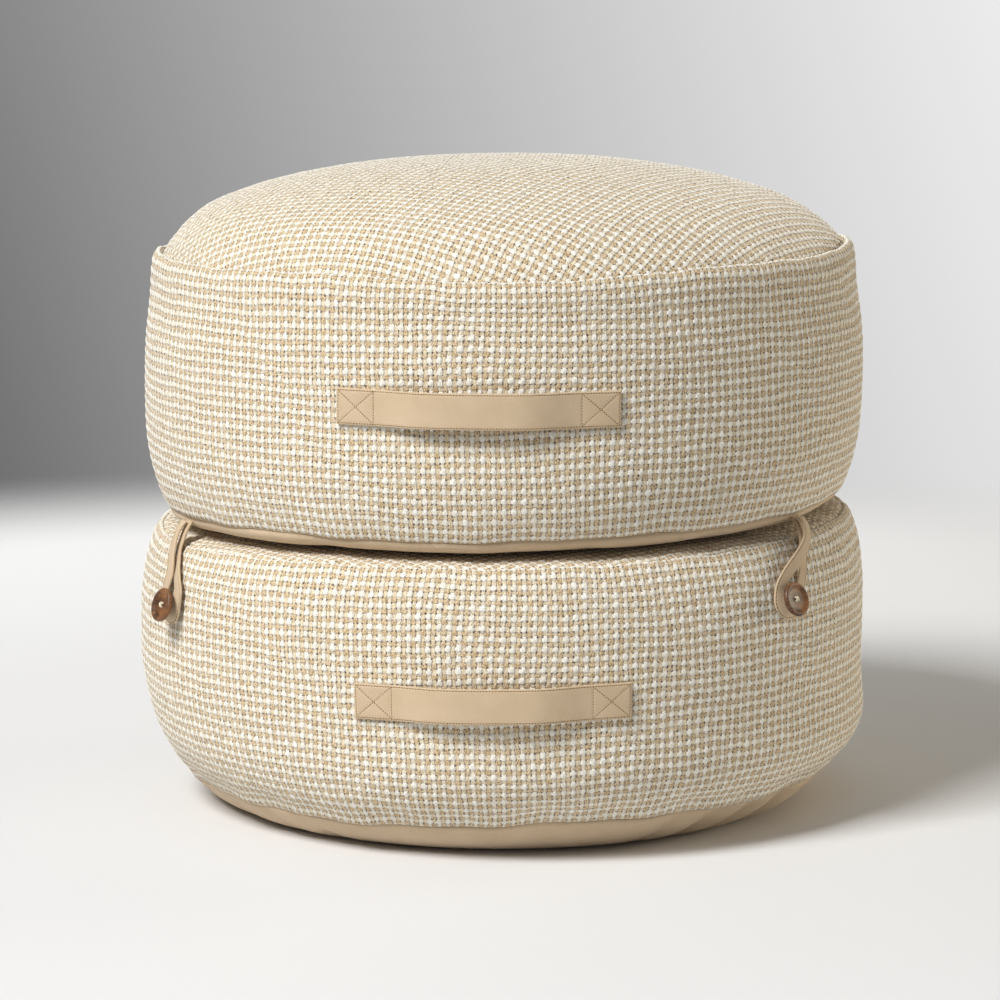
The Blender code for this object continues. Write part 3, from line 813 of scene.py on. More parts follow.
def make_strap(name, place, size, segments, material, step, face_count):
    """A folded canvas strap of a length, width and thickness, drawn in along its stitch lines.

    place turns how far along, across and outwards something lies into a point.
    """
    length, width, thickness = size
    section = strap_section(width, thickness, face_count)
    rings = int(length / step) + 1
    outer = section[:, 1] >= thickness * 0.99
    middle = thickness / 2.0
    rows = []
    for index, x in enumerate(np.linspace(-length / 2.0, length / 2.0, rings)):
        inside = min(index, rings - 1 - index) * length / (rings - 1)
        tuck = 1.0 - math.sqrt(max(0.0, 1.0 - (1.0 - min(inside / END_ROUND, 1.0)) ** 2))
        y = section[:, 0]
        away = distance_to(segments, np.full(len(section), x), y)
        drawn = STITCH_SINK * np.exp(-((away / STITCH_REACH) ** 2)) * outer
        out = middle + (section[:, 1] - middle) * (1.0 - 0.5 * tuck) - drawn
        rows.append(np.stack([np.full(len(section), x), y, out], -1))
    grid = np.array(rows)
    points = place(grid[..., 0], grid[..., 1], grid[..., 2]).reshape(-1, 3)
    count = len(section)
    near_cap = np.arange(count)[None, ::-1]
    far_cap = (np.arange(count) + (rings - 1) * count)[None, :]
    faces = [grid_faces(rings, count, closed=True), near_cap, far_cap]
    flat = grid[..., :2].reshape(-1, 2)
    maps = {"Cloth": np.concatenate([flat[part.ravel()] for part in faces])}
    made = new_object(name, points, corner_lists(faces), [material], maps)
    face_outwards(made)
    return made


def stitch_places(segments):
    """The middle and heading of each stitch, and each needle hole, along a list of lines."""
    stitches = []
    holes = []
    for (x0, y0), (x1, y1) in segments:
        run = math.hypot(x1 - x0, y1 - y0)
        count = max(int(round(run / STITCH_PITCH)), 1)
        heading = math.atan2(y1 - y0, x1 - x0)
        for index in range(count + 1):
            share = index / count
            holes.append((x0 + (x1 - x0) * share, y0 + (y1 - y0) * share))
            if index < count:
                share = (index + 0.5) / count
                stitches.append((x0 + (x1 - x0) * share, y0 + (y1 - y0) * share, heading))
    return stitches, holes


def stitch_points(x, y, heading, base, ring):
    """One stitch: a short thread whose two ends dive into the canvas."""
    rows = []
    for along, swell in STITCH_STATIONS:
        side = STITCH_RADIUS * swell * np.cos(ring)
        out = base + STITCH_RADIUS * (0.35 + swell * np.sin(ring)) - STITCH_RADIUS * (1.0 - swell)
        shift = along * STITCH_LENGTH
        stitch_x = x + shift * math.cos(heading) - side * math.sin(heading)
        stitch_y = y + shift * math.sin(heading) + side * math.cos(heading)
        rows.append(np.stack([stitch_x, stitch_y, out], -1))
    return np.array(rows).reshape(-1, 3)


def hole_points(x, y, base, ring):
    """One needle hole: a low cone in painted shadow, since its inside is too small to see."""
    rim = np.full(len(ring), base + HOLE_RIM)
    low = np.stack([x + NEEDLE_HOLE * np.cos(ring), y + NEEDLE_HOLE * np.sin(ring), rim], -1)
    return np.concatenate([low, [[x, y, base + HOLE_TIP]]])


def make_stitching(name, place, thickness, segments, thread, shade):
    """Thread lying in a strap's stitch lines, and the small needle holes between the stitches, in painted
    shadow.
    """
    stitches, holes = stitch_places(segments)
    sides = STITCH_SIDES
    ring = np.radians(np.arange(sides) * 360.0 / sides)
    base = thickness - STITCH_SINK
    points = []
    faces = []
    slots = []
    start = 0
    for x, y, heading in stitches:
        points.append(stitch_points(x, y, heading, base, ring))
        last = start + (len(STITCH_STATIONS) - 1) * sides
        faces.extend(grid_faces(len(STITCH_STATIONS), sides, start, closed=True).tolist())
        faces.append(list(range(start, start + sides))[::-1])
        faces.append(list(range(last, last + sides)))
        slots.extend([0] * ((len(STITCH_STATIONS) - 1) * sides + 2))
        start += len(points[-1])
    for x, y in holes:
        points.append(hole_points(x, y, base, ring))
        faces.append(list(range(start, start + sides))[::-1])
        faces.extend([start + k, start + (k + 1) % sides, start + sides] for k in range(sides))
        slots.extend([1] * (sides + 1))
        start += sides + 1
    along, across, out = np.concatenate(points).T
    made = new_object(name, place(along, across, out), faces, [thread, shade], face_materials=slots)
    face_outwards(made)
    return made


def handle_stitch_lines(length):
    """Two edge lines end to end, and a box with a cross at each sewn end."""
    half = length / 2.0 - STITCH_INSET
    side = HANDLE_WIDTH / 2.0 - STITCH_INSET
    inner = length / 2.0 - HANDLE_BOX
    lines = [((-half, side), (half, side)), ((-half, -side), (half, -side))]
    for sign in (-1.0, 1.0):
        lines.append(((sign * half, -side), (sign * half, side)))
        lines.append(((sign * inner, -side), (sign * inner, side)))
        lines.append(((sign * half, -side), (sign * inner, side)))
        lines.append(((sign * half, side), (sign * inner, -side)))
    return lines


def handle_place(line, azimuth, height, length, slope):
    """Turns places on a handle to points on and off its band."""
    radius = float(side_radius(line, np.array(azimuth), height))
    free = length - 2.0 * HANDLE_STITCHED

    def place(along, across, out):
        here = azimuth + np.degrees(along / radius)
        level = height + slope * along + across
        share = (np.abs(along) - free / 2.0) / free
        lift = HANDLE_LIFT * smooth(-share / HANDLE_RISE)
        seat = side_radius(line, here, level) + SEWN_GAP + lift
        return on_ring(here, seat + out, level)

    return place


def pulled(side, above, radius, share, pull):
    """Where a loop's line lies sideways and from the axis once its own pull has moved it."""
    left, right, middle, squeeze, lift, apart = pull
    foot = 1.0 - smooth(above / FOOT_REACH)
    below_hem = LOOP_DROP - above
    free = smooth(above / MIDDLE_REACH[0]) * smooth(below_hem / MIDDLE_REACH[1])
    drawn = squeeze * smooth((above - DRAWN_START) / DRAWN_REACH[0]) * smooth(below_hem / DRAWN_REACH[1])
    second = smooth((share - SECOND_LEG) / SECOND_REACH)
    side = side * (1.0 - drawn) + (left + (right - left) * second) * foot + middle * free
    clear = smooth((above - APART_START) / APART_REACH)
    return side, radius + lift * foot + apart * clear * (1.0 - second)


def loop_place(sewn_azimuth, azimuth, button_height, pull):
    """Turns places on a loop to points, and gives the loop's length."""
    drop = LOOP_END_HEIGHT - button_height
    line = Line(np.array(LOOP_LINE) * (1.0, 1.0, 1.0, ROLL_WEIGHT), steps=24)
    side, above, radius, roll = line.points.T
    side, radius = pulled(side, above, radius, np.linspace(0.0, 1.0, len(side)), pull)
    height = button_height + np.where(above > 0.0, above * drop / LOOP_DROP, above)
    here = azimuth + np.degrees(side / radius) + (sewn_azimuth - azimuth) * smooth(above / LOOP_DROP)
    centre = settle(on_ring(here, radius, height))
    path = np.append(0.0, np.cumsum(np.linalg.norm(np.diff(centre, axis=0), axis=1)))
    length = path[-1]
    tangent = np.gradient(centre, path, axis=0)
    tangent /= np.linalg.norm(tangent, axis=1, keepdims=True)
    outwards = on_ring(here, 1.0, 0.0)
    across = np.cross(tangent, outwards)
    across /= np.linalg.norm(across, axis=1, keepdims=True)
    face = np.cross(across, tangent)
    turn = np.radians(roll / ROLL_WEIGHT)[:, None]
    width = across * np.cos(turn) - face * np.sin(turn)
    depth = across * np.sin(turn) + face * np.cos(turn)

    def read(values, at):
        return np.stack([np.interp(at, path, column) for column in values.T], -1)

    def place(along, sideways, out):
        at = np.clip(along + length / 2.0, 0.0, length)
        outer = (out - LOOP_THICKNESS / 2.0)[..., None]
        return read(centre, at) + read(width, at) * sideways[..., None] + read(depth, at) * outer

    return place, length


# ---- buttons ------------------------------------------------------------------------------------
def button_turn(azimuth, swing, tilt):
    facing = math.radians(azimuth + swing)
    return Matrix.Rotation(facing, 4, "Z") @ Matrix.Rotation(math.radians(90.0 - tilt), 4, "X")


def button_blank(name, material):
    """A turned disc with a raised rim."""
    builder = bmesh.new()
    outline = [builder.verts.new((radius, 0.0, height)) for radius, height in BUTTON_PROFILE]
    edges = [builder.edges.new(pair) for pair in zip(outline, outline[1:])]
    turned = {"cent": (0.0, 0.0, 0.0), "axis": (0.0, 0.0, 1.0), "angle": math.tau, "steps": 72}
    bmesh.ops.spin(builder, geom=outline + edges, **turned)
    bmesh.ops.remove_doubles(builder, verts=builder.verts, dist=MERGED)
    bmesh.ops.recalc_face_normals(builder, faces=builder.faces)
    mesh = bpy.data.meshes.new(name)
    builder.to_mesh(mesh)
    builder.free()
    return link_mesh(name, mesh, material)


def button_drills(name):
    """Four rods where a button's holes are drilled."""
    builder = bmesh.new()
    half = HOLE_SPACING / 2.0
    rod = {"cap_ends": True, "segments": 20, "depth": ROD_LENGTH}
    rod.update(radius1=HOLE_RADIUS, radius2=HOLE_RADIUS)
    for x in (-half, half):
        for y in (-half, half):
            bmesh.ops.create_cone(builder, matrix=Matrix.Translation((x, y, 0.0)), **rod)
    mesh = bpy.data.meshes.new(name)
    builder.to_mesh(mesh)
    builder.free()
    return link_mesh(name, mesh)


def make_button(name, material):
    """A turned button, drilled through for its thread."""
    made = button_blank(name, material)
    drills = button_drills(f"{name}_drills")
    cut = made.modifiers.new("holes", "BOOLEAN")
    cut.operation = "DIFFERENCE"
    cut.solver = "EXACT"
    cut.object = drills
    apply_modifiers(made)
    bpy.data.objects.remove(drills, do_unlink=True)
    made.data.shade_smooth()
    made.data.set_sharp_from_angle(angle=math.radians(50.0))
    return made


def apply_modifiers(made):
    graph = bpy.context.evaluated_depsgraph_get()
    mesh = bpy.data.meshes.new_from_object(made.evaluated_get(graph))
    old = made.data
    made.modifiers.clear()
    made.data = mesh
    bpy.data.meshes.remove(old)


def tube(path, radius, sides):
    """Points and faces of a closed tube along a path, its ends drawn in."""
    path = np.array(path, float)
    tangent = np.gradient(path, axis=0)
    tangent /= np.linalg.norm(tangent, axis=1, keepdims=True)
    reference = np.array([0.0, 0.0, 1.0]) if abs(tangent[0][2]) < 0.9 else np.array([1.0, 0.0, 0.0])
    first = np.cross(tangent, reference)
    first /= np.linalg.norm(first, axis=1, keepdims=True)
    second = np.cross(tangent, first)
    ring = np.radians(np.arange(sides) * 360.0 / sides)[:, None]
    points = []
    for index, middle in enumerate(path):
        shrink = 0.5 if index in (0, len(path) - 1) else 1.0
        section = np.cos(ring) * first[index] + np.sin(ring) * second[index]
        points.append(middle + radius * shrink * section)
    last = (len(path) - 1) * sides
    caps = [list(range(sides))[::-1], list(range(last, last + sides))]
    return np.concatenate(points), grid_faces(len(path), sides, closed=True).tolist() + caps


def crossed_strands():
    """Two pairs of strands that cross over a button's face and go down through its holes."""
    tubes = []
    half = HOLE_SPACING / 2.0
    deep, shallow = STRAND_ENDS
    for sign, lift in ((1.0, 0.0), (-1.0, STRAND_CROSSING)):
        for offset in (-0.5, 0.5):
            shift = Vector((-sign, 1.0, 0.0)).normalized() * STRAND_RADIUS * offset * STRAND_SPACING
            path = []
            for t in np.linspace(-1.0, 1.0, 13):
                arch = (STRAND_ARCH + lift) * (1.0 - abs(t) ** 3)
                height = BUTTON_FACE + arch + STRAND_LIFT
                path.append((half * t + shift.x, sign * half * t + shift.y, height))
            first, last = path[0][:2], path[-1][:2]
            path = [(*first, deep), (*first, shallow), *path, (*last, shallow), (*last, deep)]
            tubes.append(tube(path, STRAND_RADIUS, 8))
    return tubes


def wound_shank(length, inwards):
    """A core behind a button with thread wound round it, wider where it meets the button."""
    around = inwards.orthogonal().normalized()
    other = inwards.cross(around)
    turns = int(length / (2.0 * STRAND_RADIUS))
    coil = []
    for index in range(turns * 10 + 1):
        share = index / (turns * 10)
        turn = share * turns * math.tau
        radius = SHANK_RADIUS * (1.0 + COIL_FLARE * (1.0 - share) ** 4)
        down = inwards * (COIL_START + share * (length - COIL_START))
        coil.append(tuple(down + radius * (around * math.cos(turn) + other * math.sin(turn))))
    core = [tuple(inwards * (CORE_START + (length - CORE_START) * t)) for t in np.linspace(0.0, 1.0, 6)]
    return [tube(coil, STRAND_RADIUS, 6), tube(core, SHANK_RADIUS, 12)]


def make_thread(name, shank_length, inwards, material):
    """Crossed strands over a button's face, through its holes, and the wound shank behind it."""
    points = []
    faces = []
    start = 0
    for part, part_faces in [*crossed_strands(), *wound_shank(shank_length, Vector(inwards))]:
        points.append(part)
        faces.extend([[corner + start for corner in face] for face in part_faces])
        start += len(part)
    made = new_object(name, np.concatenate(points), faces, [material])
    face_outwards(made)
    return made


# ---- materials ----------------------------------------------------------------------------------
BUMP = "ShaderNodeBump"
MAPPING = "ShaderNodeMapping"
MATH = "ShaderNodeMath"
MIX = "ShaderNodeMix"
NOISE = "ShaderNodeTexNoise"
RANGE = "ShaderNodeMapRange"  # value, from low, from high, to low, to high
VECTOR = "ShaderNodeVectorMath"
COLOUR = {"data_type": "RGBA", "out": 2}  # a mix of colours: its share is input 0, the colours 6 and 7


def linear(code):
    """An sRGB hex colour as linear numbers."""
    parts = [int(code[k : k + 2], 16) / 255.0 for k in (1, 3, 5)]
    return (*[p / 12.92 if p <= 0.04045 else ((p + 0.055) / 1.055) ** 2.4 for p in parts], 1.0)


def add(tree, kind, inputs, out=0, **settings):
    """Adds a node with its settings and gives one of its outputs. inputs is in the sockets' order, or by
    their numbers or names; an input that is given a socket is linked."""
    made = tree.nodes.new(kind)
    for key, value in settings.items():
        setattr(made, key, value)
    by_key = inputs if isinstance(inputs, dict) else dict(enumerate(inputs))
    for key, value in by_key.items():
        if isinstance(value, bpy.types.NodeSocket):
            tree.links.new(value, made.inputs[key])
        else:
            made.inputs[key].default_value = value
    return made.outputs[out]


def new_material(name, roughness, **fixed):
    """A material with the numbers that are the same all over it set on its shader."""
    material = bpy.data.materials.new(name)
    material.use_nodes = True
    shader = material.node_tree.nodes["Principled BSDF"]
    shader.inputs["Roughness"].default_value = roughness
    for key, value in fixed.items():
        shader.inputs[key.replace("_", " ").title().replace("Ior", "IOR")].default_value = value
    return material, material.node_tree, shader


def yarn_marks(tree, place, turn, count, detail, out="Fac"):
    """Uneven marks in spun yarn: about this count of them to a repeat, across and along."""
    moved = add(tree, MAPPING, {"Vector": place, "Rotation": (0.0, 0.0, turn), "Scale": (*count, 1.0)})
    inputs = {"Vector": moved, "Scale": 1.0, "Detail": detail}
    return add(tree, NOISE, inputs, out=out, noise_dimensions="2D")


def loose_place(tree, place):
    """The weave's places, strayed by a few strands, because spun yarn has no straight edge."""
    ragged = yarn_marks(tree, place, 0.0, RAGGED, 1.0, "Color")
    ragged = add(tree, VECTOR, (ragged, (0.5, 0.5, 0.5)), operation="SUBTRACT")
    return add(tree, VECTOR, (ragged, (RAGGED_REACH, RAGGED_REACH, 0.0), place), operation="MULTIPLY_ADD")


def float_lattice(tree, loose, shift, half):
    """How far a place is from the middle of its float, 1 at the float's edge, and each float's luck."""
    moved = add(tree, VECTOR, (loose, (0.5 - shift[0], 0.5 - shift[1], 0.0)), operation="ADD")
    share = add(tree, VECTOR, (moved,), operation="FRACTION")
    middle = add(tree, VECTOR, (share, (0.5, 0.5, 0.0)), operation="SUBTRACT")
    one_float = add(tree, VECTOR, (moved,), operation="FLOOR")
    luck = add(tree, "ShaderNodeTexWhiteNoise", {"Vector": one_float}, noise_dimensions="2D").node.outputs
    size = add(tree, RANGE, (luck["Value"], 0.0, 1.0, *FLOAT_SIZES))
    scaled = add(tree, VECTOR, (middle, (1.0 / half[0], 1.0 / half[1], 0.0)), operation="MULTIPLY")
    square = add(tree, VECTOR, (scaled, scaled), operation="MULTIPLY")
    fourth = add(tree, VECTOR, (square, square), out="Value", operation="DOT_PRODUCT")
    away = add(tree, MATH, (fourth, 0.25), operation="POWER")
    away = add(tree, MATH, (away, size), operation="MULTIPLY")
    return away, add(tree, "ShaderNodeSeparateColor", {"Color": luck["Color"]}, out="Green")


def yarn_back(tree, away, low, high):
    """The round back of a yarn: high at its middle, low at its edge and beyond."""
    fourth = add(tree, MATH, (away, 4.0), operation="POWER")
    left = add(tree, MATH, (1.0, fourth), operation="SUBTRACT", use_clamp=True)
    left = add(tree, MATH, (left,), operation="SQRT")
    return add(tree, MATH, (left, high - low, low), operation="MULTIPLY_ADD")


def crevice_shade(tree, away, where):
    """A thin line of painted shade just outside a float, broken where its loose fibres cover it."""
    outside = add(tree, MATH, (away, CREVICE_PLACE), operation="SUBTRACT")
    outside = add(tree, MATH, (outside,), operation="ABSOLUTE")
    line = add(tree, RANGE, (outside, 0.0, CREVICE_REACH, 1.0, 0.0))
    return add(tree, MATH, (line, where), operation="MULTIPLY")


def between_floats(tree, loose):
    """Between its floats each yarn dips and shows as a narrow upright strand: 1 where that yarn is a white
    one, how high it lies, and 1 in the holes where four floats meet, which get painted shade."""
    flat = add(tree, "ShaderNodeSeparateXYZ", {"Vector": loose}).node.outputs
    column = add(tree, MATH, (flat["X"], 0.5), operation="PINGPONG")
    row = add(tree, MATH, (flat["Y"], 0.5), operation="PINGPONG")
    sideways = add(tree, MATH, (column, 0.25), operation="SUBTRACT")
    upwards = add(tree, MATH, (row, 0.25), operation="SUBTRACT")
    square = add(tree, MATH, (upwards, upwards), operation="MULTIPLY")
    square = add(tree, MATH, (sideways, sideways, square), operation="MULTIPLY_ADD")
    from_hole = add(tree, MATH, (square,), operation="SQRT")
    hole = add(tree, RANGE, (from_hole, *HOLE_SIZE, 1.0, 0.0))
    white_yarn = add(tree, MATH, (column, 0.25), operation="LESS_THAN")
    aside = add(tree, MATH, (column, 0.25), operation="PINGPONG")
    aside = add(tree, MATH, (aside, 4.0), operation="MULTIPLY")
    return white_yarn, yarn_back(tree, aside, GAP_SHARE, DIP_SHARE), hole


def white_cotton(tree, strands, luck):
    """Bleached ivory yarn, a little darker between its fibres, and each float slightly its own shade."""
    spun = {0: strands, 6: linear("#E2DAC8"), 7: linear("#FAF6ED")}
    dyed = {0: luck, 6: linear("#DED5C4"), 7: linear("#F6F3EA")}
    both = {0: 0.35, 6: add(tree, MIX, spun, **COLOUR), 7: add(tree, MIX, dyed, **COLOUR)}
    return add(tree, MIX, both, **COLOUR)


def beige_cotton(tree, place, twist, luck):
    """Oatmeal yarn spun from light and dark fibres, with pale slubs and small brown husks."""
    spun = {0: twist, 6: linear("#A8865D"), 7: linear("#EAD4AF")}
    dyed = {0: luck, 6: linear("#CDB388"), 7: linear("#E5CCA5")}
    both = {0: 0.36, 6: add(tree, MIX, spun, **COLOUR), 7: add(tree, MIX, dyed, **COLOUR)}
    beige = add(tree, MIX, both, **COLOUR)
    slub = add(tree, RANGE, (yarn_marks(tree, place, 0.0, SLUBS, 0.0), 0.50, 0.75, 0.0, 0.4))
    beige = add(tree, MIX, {0: slub, 6: beige, 7: linear("#E2D4BC")}, **COLOUR)
    husk = add(tree, RANGE, (yarn_marks(tree, place, 0.3, HUSKS, 1.0), 0.56, 0.66, 0.0, 0.75))
    return add(tree, MIX, {0: husk, 6: beige, 7: linear("#70542F")}, **COLOUR)


def woven_cotton():
    """Basket-woven slub cotton: thick ivory and oatmeal yarns, floating in turn, soft and matt.

    The floats stand out one by one, pale and tan in turn, with pinholes of painted brown shade where four of
    them meet; the gaps and the lines round the floats get painted shade too.
    """
    material, tree, shader = new_material("slub_cotton_weave", 0.95, sheen_weight=0.20, sheen_roughness=0.6)
    place = add(tree, "ShaderNodeUVMap", (), uv_map="Weave")
    loose = loose_place(tree, place)
    white_away, white_luck = float_lattice(tree, loose, (0.0, 0.0), WHITE_HALF)
    beige_away, beige_luck = float_lattice(tree, loose, (0.5, 0.5), BEIGE_HALF)
    white_yarn, dip, hole = between_floats(tree, loose)
    strand = yarn_marks(tree, loose, 0.0, STRANDS, 1.0)
    twist = yarn_marks(tree, loose, 0.75, TWISTS, 1.0)
    strands = add(tree, RANGE, (strand, *FIBRE_SPREAD))
    twists = add(tree, RANGE, (twist, *FIBRE_SPREAD))
    # Patches where the painted shade in the crevices and pinholes is strongest.
    dark = add(tree, RANGE, (yarn_marks(tree, place, 0.0, PATCHES, 0.0), 0.40, 0.58, 0.25, 1.0))

    white_dip = add(tree, MIX, {0: twists, 6: linear("#CDB993"), 7: linear("#F0E5CF")}, **COLOUR)
    beige_dip = add(tree, MIX, {0: strands, 6: linear("#D5BF97"), 7: linear("#F1E5CB")}, **COLOUR)
    colour = add(tree, MIX, {0: white_yarn, 6: beige_dip, 7: white_dip}, **COLOUR)
    on_beige = add(tree, RANGE, (beige_away, *BEIGE_EDGE, 1.0, 0.0))
    beige = beige_cotton(tree, place, twists, beige_luck)
    colour = add(tree, MIX, {0: on_beige, 6: colour, 7: beige}, **COLOUR)
    # Painted shade: a thin brown line in the crevices round each float, broken by the patches.
    edges = (crevice_shade(tree, white_away, dark), crevice_shade(tree, beige_away, dark))
    edges = add(tree, MATH, (add(tree, MATH, edges, operation="MAXIMUM"), 0.85), operation="MULTIPLY")
    colour = add(tree, MIX, {0: edges, 6: colour, 7: linear("#5A442A")}, **COLOUR)
    on_white = add(tree, RANGE, (white_away, *WHITE_EDGE, 1.0, 0.0))
    white = white_cotton(tree, strands, white_luck)
    colour = add(tree, MIX, {0: on_white, 6: colour, 7: white}, **COLOUR)

    floats = (yarn_back(tree, white_away, 0.0, 1.0), yarn_back(tree, beige_away, 0.0, BEIGE_SHARE))
    height = add(tree, MATH, (add(tree, MATH, floats, operation="MAXIMUM"), dip), operation="MAXIMUM")
    # Painted shade: the bottoms of the gaps are darkened to brown, and the holes where four floats meet
    # darkest.
    low = add(tree, RANGE, (height, *GAP_SHADED, 0.66, 0.0))
    colour = add(tree, MIX, {0: low, 6: colour, 7: linear("#725634")}, **COLOUR)
    # Painted shade in the holes where four floats meet, strongest in the dark patches.
    hole = add(tree, MATH, (add(tree, MATH, (hole, dark), operation="MULTIPLY"), 0.95), operation="MULTIPLY")
    colour = add(tree, MIX, {0: hole, 6: colour, 7: linear("#33230F")}, **COLOUR)
    tree.links.new(colour, shader.inputs["Base Color"])

    fibre = add(tree, MATH, (strand, twist), operation="ADD")
    fibre = add(tree, MATH, (fibre, FIBRE_SHARE), operation="MULTIPLY")
    height = add(tree, MATH, (height, fibre), operation="ADD")
    bump = add(tree, BUMP, {"Strength": 0.95, "Distance": WEAVE_BUMP, "Height": height})
    tree.links.new(bump, shader.inputs["Normal"])
    return material


def plain_canvas(name, light, dark, shade):
    """Closely woven cotton canvas, folded and pressed: matt, with a fine twill line and a soft mottle.

    A twill line every 0.9 mm is coarser than the cloth's own 0.4 mm, so that it shows.
    """
    material, tree, shader = new_material(name, 0.88, sheen_weight=0.15, sheen_roughness=0.5)
    place = add(tree, "ShaderNodeUVMap", (), uv_map="Cloth")
    turned = add(tree, MAPPING, {"Vector": place, "Rotation": (0.0, 0.0, 0.9)})
    twill = {"Vector": turned, "Scale": TWILL_WAVE / TWILL_LINE, "Distortion": 1.2, "Detail": 2.0}
    twill = add(tree, "ShaderNodeTexWave", {**twill, "Detail Scale": 2.0}, out="Fac", wave_type="BANDS")
    mottle = {"Vector": place, "Scale": CANVAS_MOTTLES, "Detail": 4.0}
    mottle = add(tree, NOISE, mottle, noise_dimensions="2D")
    grain = {"Vector": place, "Scale": CANVAS_GRAINS, "Detail": 2.0}
    grain = add(tree, NOISE, grain, noise_dimensions="2D")
    mottled = add(tree, RANGE, (mottle, 0.3, 0.7))
    colour = add(tree, MIX, {0: mottled, 6: linear(dark), 7: linear(light)}, **COLOUR)
    fine = add(tree, MATH, (twill, grain), operation="MULTIPLY")
    shaded = add(tree, RANGE, (fine, 0.0, 0.6, 0.22, 0.0))
    colour = add(tree, MIX, {0: shaded, 6: colour, 7: linear(shade)}, **COLOUR)
    tree.links.new(colour, shader.inputs["Base Color"])
    # Pressed cloth keeps a faint crinkle.
    crinkle = add(tree, MAPPING, {"Vector": place, "Scale": CANVAS_CRINKLES})
    crinkle = add(tree, NOISE, {"Vector": crinkle, "Scale": 1.0, "Detail": 2.0}, noise_dimensions="2D")
    height = add(tree, MATH, (crinkle, fine), operation="ADD")
    bump = add(tree, BUMP, {"Strength": 0.6, "Distance": 0.00035, "Height": height})
    tree.links.new(bump, shader.inputs["Normal"])
    return material


def coconut_shell():
    """Turned and polished coconut shell: dark brown, streaked with paler fibres, a satin gloss."""
    material, tree, shader = new_material("coconut_shell", 0.48, coat_weight=0.10, coat_roughness=0.30)
    place = add(tree, "ShaderNodeTexCoord", (), out="Object")
    streak = add(tree, MAPPING, {"Vector": place, "Rotation": (0.0, 0.0, 0.6), "Scale": SHELL_STREAKS})
    streak = add(tree, NOISE, {"Vector": streak, "Scale": 1.0, "Detail": 5.0})
    patch = add(tree, NOISE, {"Vector": place, "Scale": SHELL_PATCHES, "Detail": 2.0})
    streaked = add(tree, RANGE, (streak, 0.35, 0.65))
    brown = add(tree, MIX, {0: streaked, 6: linear("#341D0D"), 7: linear("#6B4526")}, **COLOUR)
    patched = add(tree, RANGE, (patch, 0.45, 0.7))
    brown = add(tree, MIX, {0: patched, 6: brown, 7: linear("#8A5C34")}, **COLOUR)
    tree.links.new(brown, shader.inputs["Base Color"])
    bump = add(tree, BUMP, {"Strength": 0.25, "Distance": 0.0003, "Height": streak})
    tree.links.new(bump, shader.inputs["Normal"])
    return material


def cotton_thread(name, light, dark):
    """Twisted cotton sewing thread, matt, its plies showing as small light and dark marks."""
    material, tree, shader = new_material(name, 0.8, sheen_weight=0.2)
    place = add(tree, "ShaderNodeTexCoord", (), out="Object")
    ply = add(tree, NOISE, {"Vector": place, "Scale": THREAD_PLIES, "Detail": 2.0})
    colour = add(tree, MIX, {0: ply, 6: linear(dark), 7: linear(light)}, **COLOUR)
    tree.links.new(colour, shader.inputs["Base Color"])
    return material


def needle_shadow():
    """A painted shadow for the inside of a needle hole in canvas: deep brown, with no gloss."""
    material, tree, shader = new_material("needle_shadow", 1.0, specular_ior_level=0.1)
    place = add(tree, "ShaderNodeTexCoord", (), out="Object")
    mottle = add(tree, NOISE, {"Vector": place, "Scale": HOLE_MOTTLES})
    colour = add(tree, MIX, {0: mottle, 6: linear("#3C2916"), 7: linear("#5C4328")}, **COLOUR)
    tree.links.new(colour, shader.inputs["Base Color"])
    return material


# ---- the stage ----------------------------------------------------------------------------------
def make_stage():
    """A plain pale floor that fades into the room a little way behind the pouf."""
    bpy.ops.mesh.primitive_circle_add(vertices=128, radius=FLOOR_SIZE, fill_type="NGON")
    floor = bpy.context.object
    floor.name = "floor"
    material, tree, shader = new_material("pale_floor", 0.75)
    shader.inputs["Base Color"].default_value = linear("#E0E0E0")
    place = add(tree, "ShaderNodeTexCoord", (), out="Object")
    away = add(tree, VECTOR, (place,), out="Value", operation="LENGTH")
    fade = add(tree, RANGE, (away, *FLOOR_FADE, 1.0, 0.0), interpolation_type="SMOOTHSTEP")
    tree.links.new(fade, shader.inputs["Alpha"])
    floor.data.materials.append(material)


def area_light(name, place, aim, size, power, tint=(1.0, 1.0, 1.0), spread=180.0):
    data = bpy.data.lights.new(name, "AREA")
    data.shape = "RECTANGLE"
    data.size, data.size_y = size
    data.energy = power
    data.color = tint
    data.spread = math.radians(spread)
    light = bpy.data.objects.new(name, data)
    light.location = place
    light.rotation_euler = (Vector(aim) - Vector(place)).to_track_quat("-Z", "Y").to_euler()
    bpy.context.scene.collection.objects.link(light)


def light_room():
    """An even grey room whose far wall is in shade on the left and lit on the right."""
    world = bpy.data.worlds.new("room")
    world.use_nodes = True
    tree = world.node_tree
    way = add(tree, "ShaderNodeTexCoord", (), out="Generated")
    part = add(tree, "ShaderNodeSeparateXYZ", {"Vector": way}).node.outputs
    wall = (part["X"], -0.24, 0.24, WALL_SHADE, WALL_LIGHT)
    wall = add(tree, RANGE, wall, interpolation_type="SMOOTHSTEP")
    higher = add(tree, RANGE, (part["Z"], -0.15, -0.03, -0.03, 0.06))
    wall = add(tree, MATH, (wall, higher), operation="ADD")
    far = add(tree, RANGE, (part["Y"], 0.80, 0.95), interpolation_type="SMOOTHSTEP")
    grey = add(tree, MIX, {0: far, 2: ROOM_LIGHT, 3: wall}, data_type="FLOAT")
    tree.links.new(grey, tree.nodes["Background"].inputs["Color"])
    bpy.context.scene.world = world


